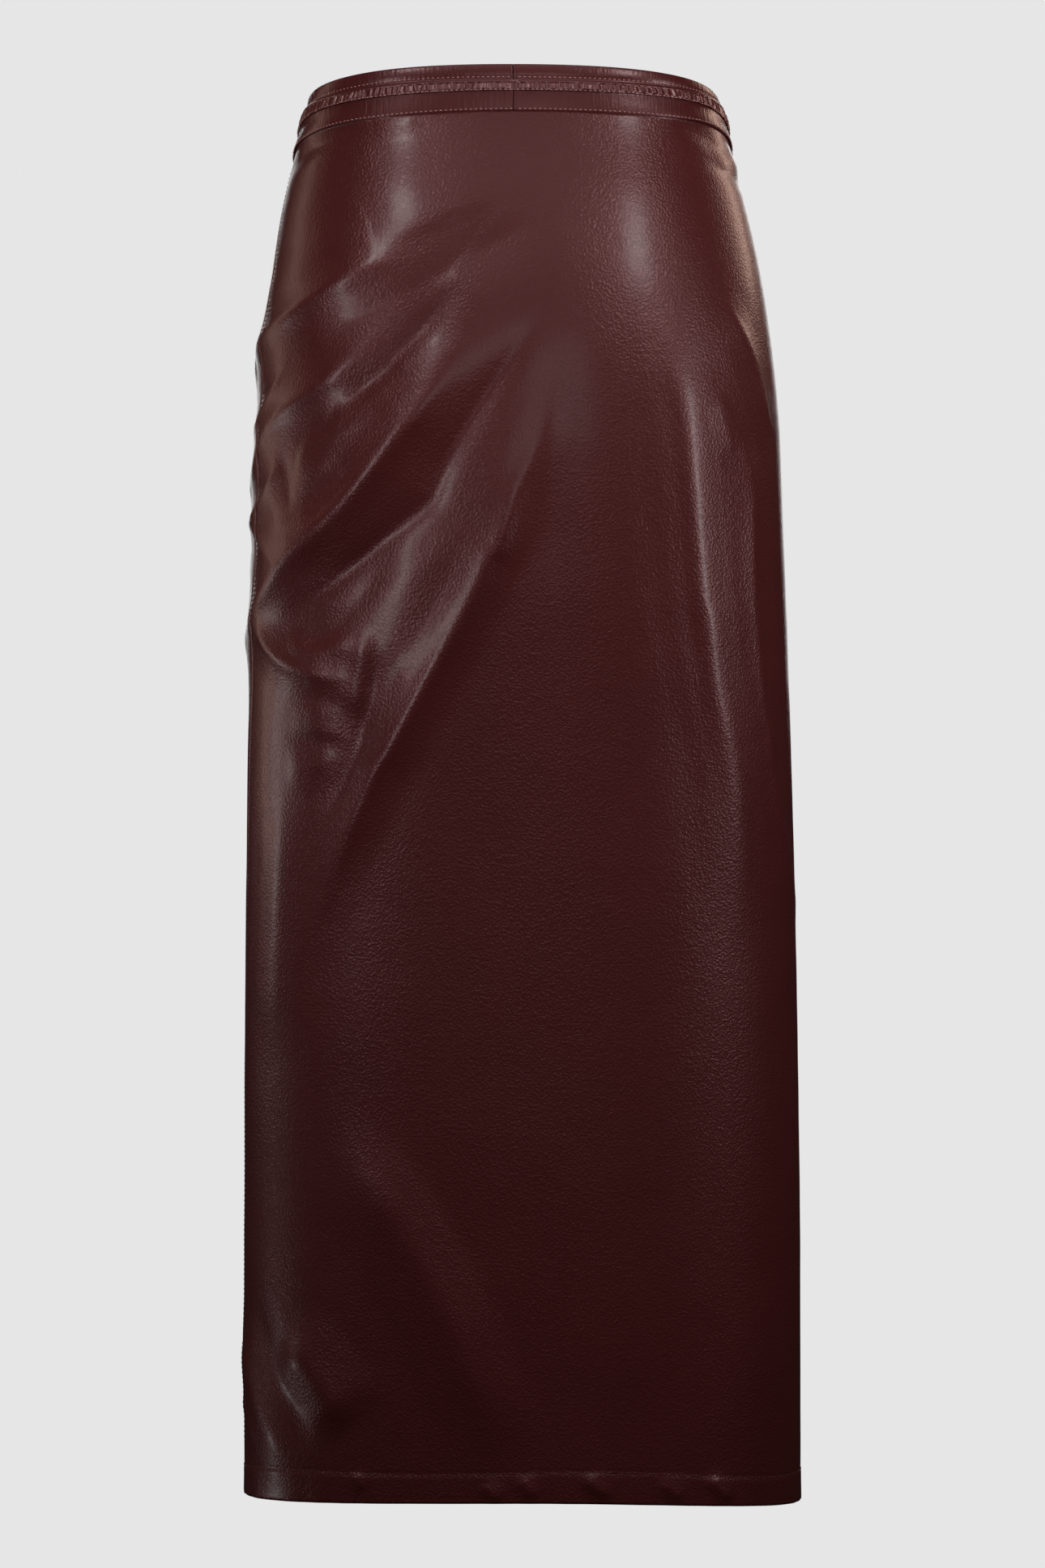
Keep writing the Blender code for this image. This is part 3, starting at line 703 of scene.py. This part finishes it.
# The gathers, drawn one by one: how far apart, how wide and how slanted in millimetres, their
# share of the full depth, where each starts and ends across the strip, and how it fades there
GATHER_APART = (2.2, 5.6)
GATHER_WIDTH = (0.7, 1.5)
GATHER_SIZE = (0.25, 1.0)
GATHER_SLANT = 1.1
GATHER_START = (0.0, 0.25)
GATHER_END = (0.9, 1.2)
GATHER_RISE = 0.2
GATHER_FALL = 0.25
GATHER_END_LEVEL = 0.4
GATHER_GROUND = 0.4


def centre_radius():
    """Length along the waistband for each unit of turn near the centre back."""
    step = 0.01
    ends = figure_point(np.array([-step, step]), np.zeros(2))
    return np.linalg.norm(ends[1] - ends[0]) / (2 * step)


def band_stretches():
    """The three stretches of the waistband. Each back half is pinched at the centre back seam."""
    at_rim = np.array(0.0)
    left, right = back_edges(at_rim)
    front_start, front_end = front_edges(at_rim)
    return (
        Stretch("back_left", left, SEAM_TUCK / centre_radius(), "last"),
        Stretch("back_right", SEAM_SLOT / 2 / centre_radius(), right, "first"),
        Stretch("front", front_start, front_end, None),
    )


def turns_along(stretch, columns):
    """Turns from a stretch's first to its last, closer together at its pinched end."""
    share = np.linspace(0, 1, columns + 1)
    if stretch.pinched_end == "first":
        share = share ** PINCH_CROWDING
    elif stretch.pinched_end == "last":
        share = 1 - (1 - share) ** PINCH_CROWDING
    return stretch.first + (stretch.last - stretch.first) * share


def from_pinch(walked, stretch):
    """How far each place is from the pinched end."""
    return walked if stretch.pinched_end == "first" else walked[-1] - walked


def puff(place):
    """How far the waistband swells out, most of all at the raised strip's foot."""
    return BAND_PUFF * np.interp(place, (1, 2, 3), (0, 1, 0))


def band_surface(turn, place, tuck=0.0):
    """The waistband's outer face, the way it faces and how far its edges are rounded off. Place
    runs from 0 at the rim over 1 at the roll and 2 at the stitch to 3 at the foot."""
    lines = np.stack([waist_line(line, turn) for line in BAND_LINES])
    cell = np.clip(place.astype(int), 0, 2)
    upper = np.take_along_axis(lines, cell[None], 0)[0]
    lower = np.take_along_axis(lines, cell[None] + 1, 0)[0]
    height = upper + (lower - upper) * (place - cell)
    figure = figure_point(turn, height)
    facing = outward(turn, height)
    side = np.abs(np.sin(turn)) ** 3
    crinkle = waves(turn, *CRINKLES) * np.sin(turn * CRINKLE_GROUPS + 1)
    flared = rise((place - FLARE_START) / FLARE_RUN) * (np.cos(turn) > FLARE_END)
    lift = TOP_PUFF * np.sin(np.pi * np.clip(place, 0, 1)) * (place < 1)
    lift = lift + LOW_PUFF * np.sin(np.pi * np.clip(place - 2, 0, 1))
    lift = lift + puff(place) + crinkle * (CRINKLE_MIDDLE + (1 - CRINKLE_MIDDLE) * side)
    lift = lift + FOOT_FLARE * side * flared
    lift = lift - tuck * rise((turn * centre_radius() + SEAM_SLOT) / (SEAM_SLOT / 2))
    lift = lift - bump(place - UPPER_ROW, *BAND_GROOVE)
    sunk = quarter_round(lines[0] - height, RIM_ROUND) + quarter_round(height - lines[3], FOOT_ROUND)
    return figure + facing * (lift - sunk)[..., None], facing, sunk


def band_piece(stretch, cloth, materials):
    """One stretch of the waistband as a closed shell."""
    places = [np.linspace(i, i + 1, count + 1)[:-1] for i, count in enumerate(BAND_ROWS)]
    edge = np.array(BAND_EDGE_ROWS)
    place = np.unique(np.concatenate(places + [[3.0], edge, 3 - edge]))
    turn, place = np.meshgrid(turns_along(stretch, BAND_GRID[stretch.name]), place)
    tuck = SEAM_DEPTH if stretch.pinched_end == "last" else 0.0
    outer, facing, sunk = band_surface(turn, place, tuck)
    inner = outer - facing * (cloth.band_cloth - 2 * sunk)[..., None]
    return shell("band_" + stretch.name, outer, inner, range(len(outer)), materials)


def gathers(places, share, seed, depth):
    """The depth of the ruching along a strip, one small crease at a time."""
    chance = np.random.default_rng(seed)
    lift = np.zeros(np.broadcast_shapes(places.shape, share.shape))
    at = places.min()
    while at < places.max():
        at += chance.uniform(*GATHER_APART) * MM
        width = chance.uniform(*GATHER_WIDTH) * MM
        size = chance.uniform(*GATHER_SIZE) * depth
        slant = chance.normal(0.0, GATHER_SLANT) * MM
        starts = chance.uniform(*GATHER_START)
        ends = chance.uniform(*GATHER_END)
        reach = rise((share - starts) / GATHER_RISE)
        reach = reach * rise((ends - share) / GATHER_FALL + GATHER_END_LEVEL)
        lift = lift + reach * bump(places - at - slant * (share - 0.5), size, width)
    return lift - GATHER_GROUND * depth


def strip_surface(stretch, columns, cloth):
    """The raised strip's place on the figure, the way it faces, how far it stands out, the bed
    that it lies on and the length walked along it."""
    turn = turns_along(stretch, columns)
    share = np.linspace(0, 1, STRIP_ROWS + 1) ** STRIP_ROW_CROWDING
    upper, lower = waist_line("roll", turn), waist_line("stitch", turn)
    height = upper + (lower - upper) * share[:, None]
    turn = np.broadcast_to(turn, height.shape)
    figure = figure_point(turn, height)
    facing = outward(turn, height)
    walked = walk_along(figure[0])
    off = read_off(STRIP_COLUMNS, STRIP_SECTION, "off", share)[:, None] * MM
    gather = read_off(STRIP_COLUMNS, STRIP_SECTION, "gather", share)[:, None]
    seed = sum(map(ord, stretch.name))
    ruche = gathers(walked[None, :], share[:, None], seed, cloth.ruche_depth)
    fullness = 1.0
    if stretch.pinched_end:
        grown = rise(from_pinch(walked, stretch) / PINCH_RUN)
        fullness = PINCH_FULLNESS + (1 - PINCH_FULLNESS) * grown
    stand = (off + gather * ruche) * fullness
    bed = puff(1 + share)[:, None] + STRIP_BED
    return figure, facing, np.maximum(stand, bed + STRIP_THIN), bed, walked


def strip_piece(stretch, cloth, materials):
    """One stretch of the raised strip as a closed shell."""
    columns = STRIP_GRID[stretch.name]
    figure, facing, stand, bed, walked = strip_surface(stretch, columns, cloth)
    if stretch.pinched_end:
        keep = from_pinch(walked, stretch) > PINCH_GAP
        figure, facing, stand = figure[:, keep], facing[:, keep], stand[:, keep]
    outer = figure + facing * stand[..., None]
    inner = figure + facing * bed[..., None]
    return shell("strip_" + stretch.name, outer, inner, range(len(outer)), materials)


# One stitch: its corners, its flatness, and its rings as (place, width, height)
STITCH_SIDES = 6
STITCH_FLATNESS = 0.8
STITCH_RINGS = (
    (0.0, 0.35, -0.5),
    (0.14, 0.85, 0.15),
    (0.5, 1.0, 0.4),
    (0.86, 0.85, 0.15),
    (1.0, 0.35, -0.5),
)

# The rows of topstitching: samples along them, the turn by which they stop short of a seam, how
# deep they sink in, the ends of the side rows and their turns from the seam, and the places of
# the waistband's two rows
HEM_SAMPLES = 400
SIDE_SAMPLES = 700
WAIST_SAMPLES = 500
ROW_MARGIN = 0.01
HEM_ROW_SUNK = 0.05 * MM
SIDE_ROW_SUNK = 0.2 * MM
SIDE_ROW_TOP = -40 * MM
SIDE_ROW_FOOT = -840 * MM
SIDE_ROWS = (0.030, 0.065)
UPPER_ROW = 0.86
LOWER_ROW = 2.93


def stitches(line, facing, sewing):
    """Points and faces of a row of stitches along a line of points."""
    walked = walk_along(line)
    angles = np.linspace(0, 2 * np.pi, STITCH_SIDES, endpoint=False)
    points, faces = [], []

    def on_line(at, values):
        return np.array([np.interp(at, walked, values[:, axis]) for axis in range(3)])

    for start in np.arange(sewing.pitch / 2, walked[-1] - sewing.stitch, sewing.pitch):
        ring = len(points) + np.arange(len(STITCH_RINGS) * STITCH_SIDES).reshape(-1, STITCH_SIDES)
        along = on_line(start + sewing.stitch, line) - on_line(start, line)
        along /= np.linalg.norm(along)
        out = on_line(start + sewing.stitch / 2, facing)
        out -= along * out.dot(along)
        out /= np.linalg.norm(out)
        across = np.cross(along, out)
        for place, width, lifted in STITCH_RINGS:
            centre = on_line(start + sewing.stitch * place, line) + out * lifted * sewing.thread
            radius = sewing.thread / 2 * width
            for angle in angles:
                towards = across * np.cos(angle) + out * STITCH_FLATNESS * np.sin(angle)
                points.append(centre + radius * towards)
        faces += quads(np.hstack([ring, ring[:, :1]]).T)
        faces += [ring[0][::-1].tolist(), ring[-1].tolist()]
    return points, faces


def sewn_line(name, rows, sewing, material):
    """One object for some rows of stitching."""
    points, faces = [], []
    for line, facing in rows:
        some_points, some_faces = stitches(line, facing, sewing)
        faces += [[corner + len(points) for corner in face] for face in some_faces]
        points += some_points
    return new_piece(name, np.array(points), faces, [material])


# Materials. Sizes in the leather, its backing and the thread: clouds of tone, pores, the swell of
# the top coat, puckers, nap and twist. Real grain is too fine to show, so it is drawn coarser
CLOUD = 55 * MM
PORE = 0.9 * MM
SWELL = 7 * MM
SWELL_DEPTH = 0.09 * MM
PUCKER = 1.6 * MM
PUCKER_FLATTENING = 0.12
BACKING_NAP = 1.2 * MM
BACKING_NAP_DEPTH = 0.2 * MM
THREAD_TWIST = 0.8 * MM
THREAD_TWIST_DEPTH = 0.05 * MM

# Each leather piece's own finish: the depth of its grain and of its puckers, and its gloss
FINISHES = {
    "panel": (0.24 * MM, 0.0, 0.5),
    "band": (0.06 * MM, 0.22 * MM, 0.5),
    "strip": (0.06 * MM, 0.14 * MM, 0.9),
}


def fill(tree, made, settings=(), links=()):
    """Set a node's values and link its inputs."""
    for key, value in dict(settings).items():
        if isinstance(key, int) or key in made.inputs:
            made.inputs[key].default_value = value
        else:
            setattr(made, key, value)
    for key, source in dict(links).items():
        tree.links.new(source, made.inputs[key])
    return made


def node(tree, kind, settings=(), links=()):
    """Add a node with its values and links."""
    return fill(tree, tree.nodes.new(kind), settings, links)


def blank_material(name):
    """A node material with only its output and shader."""
    material = bpy.data.materials.new(name)
    material.use_nodes = True
    return material, material.node_tree, material.node_tree.nodes["Principled BSDF"]


def coated_nappa(piece, look):
    """Smooth leather with a thin polyurethane top coat: deep oxblood that goes nearly black in
    shade, a soft wide sheen with a brighter core, and a fine pebble grain that only the
    highlights show. Where it is gathered, fine upright puckers break the sheen into strokes."""
    grain_depth, pucker_depth, gloss = FINISHES[piece]
    material, tree, shader = blank_material("coated_nappa_" + piece)
    place = node(tree, "ShaderNodeTexCoord").outputs["Object"]
    cloudy = node(tree, "ShaderNodeTexNoise", {"Scale": 1 / CLOUD, "Detail": 3.0}, {"Vector": place})
    tone = node(tree, "ShaderNodeMix", {"data_type": "RGBA", "A": look.deep, "B": look.light},
                {"Factor": cloudy.outputs["Fac"]})
    cell = node(tree, "ShaderNodeTexVoronoi",
                {"feature": "SMOOTH_F1", "Scale": 1 / look.grain, "Smoothness": 0.6},
                {"Vector": place})
    fine = node(tree, "ShaderNodeTexNoise", {"Scale": 1 / PORE, "Detail": 2.0}, {"Vector": place})
    peel = node(tree, "ShaderNodeTexNoise", {"Scale": 1 / SWELL, "Detail": 2.0}, {"Vector": place})
    grain = node(tree, "ShaderNodeMath", {"operation": "MULTIPLY_ADD", 1: 0.5},
                 {0: fine.outputs["Fac"], 2: cell.outputs["Distance"]})
    upright = node(tree, "ShaderNodeMapping", {"Scale": (1.0, 1.0, PUCKER_FLATTENING)},
                   {"Vector": place})
    strokes = node(tree, "ShaderNodeTexNoise", {"Scale": 1 / PUCKER, "Detail": 1.0},
                   {"Vector": upright.outputs["Vector"]})
    relief = {}
    for height, depth in ((grain.outputs[0], grain_depth), (peel.outputs["Fac"], SWELL_DEPTH),
                          (strokes.outputs["Fac"], pucker_depth)):
        raised = node(tree, "ShaderNodeBump", {"Strength": 1.0, "Distance": depth},
                      {"Height": height, **relief})
        relief = {"Normal": raised.outputs["Normal"]}
    rough = node(tree, "ShaderNodeMapRange",
                 {"To Min": look.gloss_roughness - 0.03, "To Max": look.gloss_roughness + 0.05},
                 {"Value": peel.outputs["Fac"]})
    fill(tree, shader,
         {"IOR": 1.5, "Metallic": 0.0, "Specular IOR Level": gloss, "Specular Tint": look.gloss_tint,
          "Coat Weight": look.coat, "Coat Roughness": look.coat_roughness},
         {"Base Color": tone.outputs["Result"], "Roughness": rough.outputs["Result"], **relief})
    return material


def brushed_backing(look):
    """The brushed cloth behind the leather: matt, dark and slightly fuzzy at grazing angles."""
    made_before = bpy.data.materials.get("brushed_backing")
    if made_before:
        return made_before
    material, tree, shader = blank_material("brushed_backing")
    place = node(tree, "ShaderNodeTexCoord").outputs["Object"]
    nap = node(tree, "ShaderNodeTexNoise", {"Scale": 1 / BACKING_NAP, "Detail": 3.0}, {"Vector": place})
    tone = node(tree, "ShaderNodeMix", {"data_type": "RGBA", "A": look.backing, "B": look.light},
                {"Factor": nap.outputs["Fac"]})
    raised = node(tree, "ShaderNodeBump", {"Strength": 1.0, "Distance": BACKING_NAP_DEPTH},
                  {"Height": nap.outputs["Fac"]})
    fill(tree, shader, {"Roughness": 0.9, "Sheen Weight": 0.3},
         {"Base Color": tone.outputs["Result"], "Normal": raised.outputs["Normal"]})
    return material


def polyester_thread(name, thread_colour):
    """Spun polyester thread: glossy, with a faint twist that makes it glint in dots."""
    material, tree, shader = blank_material("polyester_thread_" + name)
    place = node(tree, "ShaderNodeTexCoord").outputs["Object"]
    twist = node(tree, "ShaderNodeTexWave", {"Scale": 1 / THREAD_TWIST, "Distortion": 2.0},
                 {"Vector": place})
    raised = node(tree, "ShaderNodeBump", {"Strength": 0.5, "Distance": THREAD_TWIST_DEPTH},
                  {"Height": twist.outputs["Fac"]})
    fill(tree, shader, {"Base Color": thread_colour, "Roughness": 0.35},
         {"Normal": raised.outputs["Normal"]})
    return material


def studio_paper(paper):
    """Matt seamless paper lit from behind, so that it reads as one pale tone without a horizon."""
    material, tree, shader = blank_material("studio_paper")
    fill(tree, shader, {"Base Color": linear("#000000"), "Roughness": 1.0, "Specular IOR Level": 0.0,
                        "Emission Color": paper, "Emission Strength": 1.0})
    return material


# Operators


class SKIRT_OT_panels(bpy.types.Operator):
    """Sew the back and front panels with their drapes and turned-up hem"""
    bl_idname = "skirt.panels"
    bl_label = "Panels"

    def execute(self, context):
        cloth, look = context.scene.skirt_cloth, context.scene.skirt_leather
        materials = [coated_nappa("panel", look), brushed_backing(look)]
        back = panel_piece("back_panel", back_edges, BACK_GRID, cloth, materials)
        front = panel_piece("front_panel", front_edges, FRONT_GRID, cloth, materials)
        declare(back, ["panel_back"])
        declare(front, ["panel_front"])
        return {"FINISHED"}


class SKIRT_OT_waistband(bpy.types.Operator):
    """Make the waistband's two back halves and its front"""
    bl_idname = "skirt.waistband"
    bl_label = "Waistband"

    def execute(self, context):
        cloth, look = context.scene.skirt_cloth, context.scene.skirt_leather
        materials = [coated_nappa("band", look), brushed_backing(look)]
        for stretch in band_stretches():
            piece = band_piece(stretch, cloth, materials)
            declare(piece, ["waistband_" + stretch.name])
        return {"FINISHED"}


class SKIRT_OT_raised_strip(bpy.types.Operator):
    """Lay the gathered strip on the waistband"""
    bl_idname = "skirt.raised_strip"
    bl_label = "Raised strip"

    def execute(self, context):
        cloth, look = context.scene.skirt_cloth, context.scene.skirt_leather
        materials = [coated_nappa("strip", look)]
        for stretch in band_stretches():
            piece = strip_piece(stretch, cloth, materials)
            declare(piece, ["raised_strip_" + stretch.name])
        return {"FINISHED"}


class SKIRT_OT_stitching(bpy.types.Operator):
    """Sew the topstitching of the hem, the side seam and the waist"""
    bl_idname = "skirt.stitching"
    bl_label = "Stitching"

    def execute(self, context):
        cloth, sewing = context.scene.skirt_cloth, context.scene.skirt_sewing
        hem_rows, side_rows, waist_rows = [], [], []
        for edges in (back_edges, front_edges):
            first, last = edges(np.array(HEM_LEVEL))
            turn = np.linspace(first + ROW_MARGIN, last - ROW_MARGIN, HEM_SAMPLES)
            line, facing = cloth_surface(turn, hem_height(turn) + hem_depth(turn, cloth), cloth)
            hem_rows.append((line - facing * HEM_ROW_SUNK, facing))
        height = np.linspace(SIDE_ROW_TOP, SIDE_ROW_FOOT, SIDE_SAMPLES)
        for inset in SIDE_ROWS:
            line, facing = cloth_surface(seam_turn("left", height) + inset, height, cloth)
            side_rows.append((line - facing * SIDE_ROW_SUNK, facing))
        for stretch in band_stretches():
            ends = stretch.first + ROW_MARGIN, stretch.last - ROW_MARGIN
            turn = np.linspace(*ends, WAIST_SAMPLES)
            for place in (UPPER_ROW, LOWER_ROW):
                line, facing, _ = band_surface(turn, np.full_like(turn, place))
                waist_rows.append((line, facing))
            figure, facing, stand, _, _ = strip_surface(stretch, WAIST_SAMPLES, cloth)
            waist_rows.append(((figure + facing * stand[..., None])[-2], facing[-2]))
        hem_thread = polyester_thread("hem", sewing.hem_thread)
        # The waist thread's colour carries a painted glint on its stitches; the hem thread keeps the
        # leather's tone
        waist_thread_painted_glint = polyester_thread("waist", sewing.waist_thread_painted_glint)
        declare(sewn_line("hem_stitching", hem_rows, sewing, hem_thread), [])
        declare(sewn_line("side_stitching", side_rows, sewing, hem_thread), [])
        declare(sewn_line("waist_stitching", waist_rows, sewing, waist_thread_painted_glint), [])
        return {"FINISHED"}


# The studio. Its softboxes stand round the skirt's axis. Each has a name, its azimuth in degrees
# from the camera's side, its distance, its level and the level it is aimed at, its width and
# height, all in metres, its watts, and its colour if it isn't white
LIGHTS = (
    ("strip_left", -36, 0.95, 0.42, -0.20, 0.14, 0.12, 1.7),
    ("strip_right", 39, 0.95, 0.32, -0.20, 0.16, 0.20, 2.2),
    ("low_left", -43, 0.95, -0.22, -0.22, 0.10, 0.40, 1.4),
    ("flank_right", 62, 1.00, -0.20, -0.20, 0.12, 0.40, 2.4),
    ("side_left", -114, 1.10, -0.03, -0.20, 0.22, 0.95, 1.1, "#ffdcc8"),
    ("side_right", 130, 1.10, 0.30, -0.05, 0.25, 0.40, 1.6, "#ffdcc8"),
    ("overhead", 0, 0.60, 1.30, -0.10, 1.00, 0.50, 5.0),
    ("front_card", 0, 1.50, 0.86, 0.00, 1.40, 0.66, 2.3),
    ("front_bar", 3, 1.50, -0.07, -0.20, 0.60, 0.30, 1.4),
    ("hem_left", -94, 1.00, -0.98, -0.86, 0.14, 0.08, 0.3),
    ("patch_left", -97, 1.00, -0.43, -0.43, 0.24, 0.24, 0.6),
    ("far_card", 180, 1.50, 0.10, -0.30, 1.20, 0.90, 11.0),
)
FLOOR_HALF_WIDTH = 8
WORLD_LIGHT = 0.01


def lay_floor(studio):
    """A pale floor that lies far below and neither lights the skirt nor shows in its gloss."""
    corners = FLOOR_HALF_WIDTH * np.array([[-1, -1, 0], [1, -1, 0], [1, 1, 0], [-1, 1, 0]], float)
    floor = new_piece("floor", corners, [[0, 1, 2, 3]], [studio_paper(studio.paper)])
    floor.location.z = -studio.floor_drop
    floor.visible_glossy = False
    floor.visible_diffuse = False


def hang_softbox(name, azimuth, distance, level, aim, width, height, watts, tint="#ffffff"):
    """One soft light, hidden from the camera."""
    lamp = bpy.data.lights.new(name, "AREA")
    lamp.shape = "RECTANGLE"
    lamp.size = width
    lamp.size_y = height
    lamp.energy = watts
    lamp.color = linear(tint)[:3]
    box = new_object(name, lamp)
    bearing = np.radians(azimuth)
    box.location = (distance * np.sin(bearing), -distance * np.cos(bearing), level)
    box.rotation_euler = (box.location - Vector((0, 0, aim))).to_track_quat("Z", "Y").to_euler()
    box.visible_camera = False


def paint_world(scene, paper):
    """A world that the camera sees as pale paper and that hardly lights the skirt."""
    scene.world = bpy.data.worlds.new("pale_studio")
    scene.world.use_nodes = True
    tree = scene.world.node_tree
    tree.nodes.clear()
    seen = node(tree, "ShaderNodeBackground", {"Color": paper, "Strength": 1.0})
    lit = node(tree, "ShaderNodeBackground", {"Color": paper, "Strength": WORLD_LIGHT})
    ray = node(tree, "ShaderNodeLightPath")
    both = node(tree, "ShaderNodeMixShader", {},
                {0: ray.outputs["Is Camera Ray"], 1: lit.outputs[0], 2: seen.outputs[0]})
    node(tree, "ShaderNodeOutputWorld", {}, {"Surface": both.outputs[0]})


def place_camera(scene, studio):
    """A level camera behind the skirt, at the height of its middle."""
    camera = new_object("camera", bpy.data.cameras.new("camera"))
    camera.data.lens = studio.focal_mm
    camera.location = (0, -studio.camera_distance, -studio.camera_drop)
    camera.rotation_euler = (np.pi / 2, 0, 0)
    scene.camera = camera


class SKIRT_OT_studio(bpy.types.Operator):
    """Set up the floor, the soft lights and the camera"""
    bl_idname = "skirt.studio"
    bl_label = "Studio"

    def execute(self, context):
        studio = context.scene.skirt_studio
        lay_floor(studio)
        for light in LIGHTS:
            hang_softbox(*light)
        paint_world(context.scene, studio.paper)
        context.scene.view_settings.view_transform = "Standard"
        place_camera(context.scene, studio)
        return {"FINISHED"}


class SKIRT_PT_sewing_room(bpy.types.Panel):
    """Lists the skirt's pieces and its studio"""
    bl_idname = "SKIRT_PT_sewing_room"
    bl_label = "Draped leather skirt"
    bl_space_type = "VIEW_3D"
    bl_region_type = "UI"
    bl_category = "Skirt"

    def draw(self, context):
        for operator in OPERATORS:
            self.layout.operator(operator.bl_idname)
        for settings, _ in SETTINGS:
            group = getattr(context.scene, settings)
            for name in group.__annotations__:
                self.layout.prop(group, name)


OPERATORS = (SKIRT_OT_panels, SKIRT_OT_waistband, SKIRT_OT_raised_strip, SKIRT_OT_stitching,
             SKIRT_OT_studio)
SETTINGS = (
    ("skirt_cloth", ClothSettings),
    ("skirt_leather", LeatherSettings),
    ("skirt_sewing", SewingSettings),
    ("skirt_studio", StudioSettings),
)


def register():
    """Add the settings, the operators and the panel."""
    for name, group in SETTINGS:
        bpy.utils.register_class(group)
        setattr(bpy.types.Scene, name, bpy.props.PointerProperty(type=group))
    for operator in OPERATORS:
        bpy.utils.register_class(operator)
    bpy.utils.register_class(SKIRT_PT_sewing_room)


def unregister():
    """Take them away again."""
    bpy.utils.unregister_class(SKIRT_PT_sewing_room)
    for operator in reversed(OPERATORS):
        bpy.utils.unregister_class(operator)
    for name, group in reversed(SETTINGS):
        delattr(bpy.types.Scene, name)
        bpy.utils.unregister_class(group)


def main():
    """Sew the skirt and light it."""
    register()
    bpy.ops.skirt.panels()
    bpy.ops.skirt.waistband()
    bpy.ops.skirt.raised_strip()
    bpy.ops.skirt.stitching()
    bpy.ops.skirt.studio()


if __name__ == "__main__":
    main()
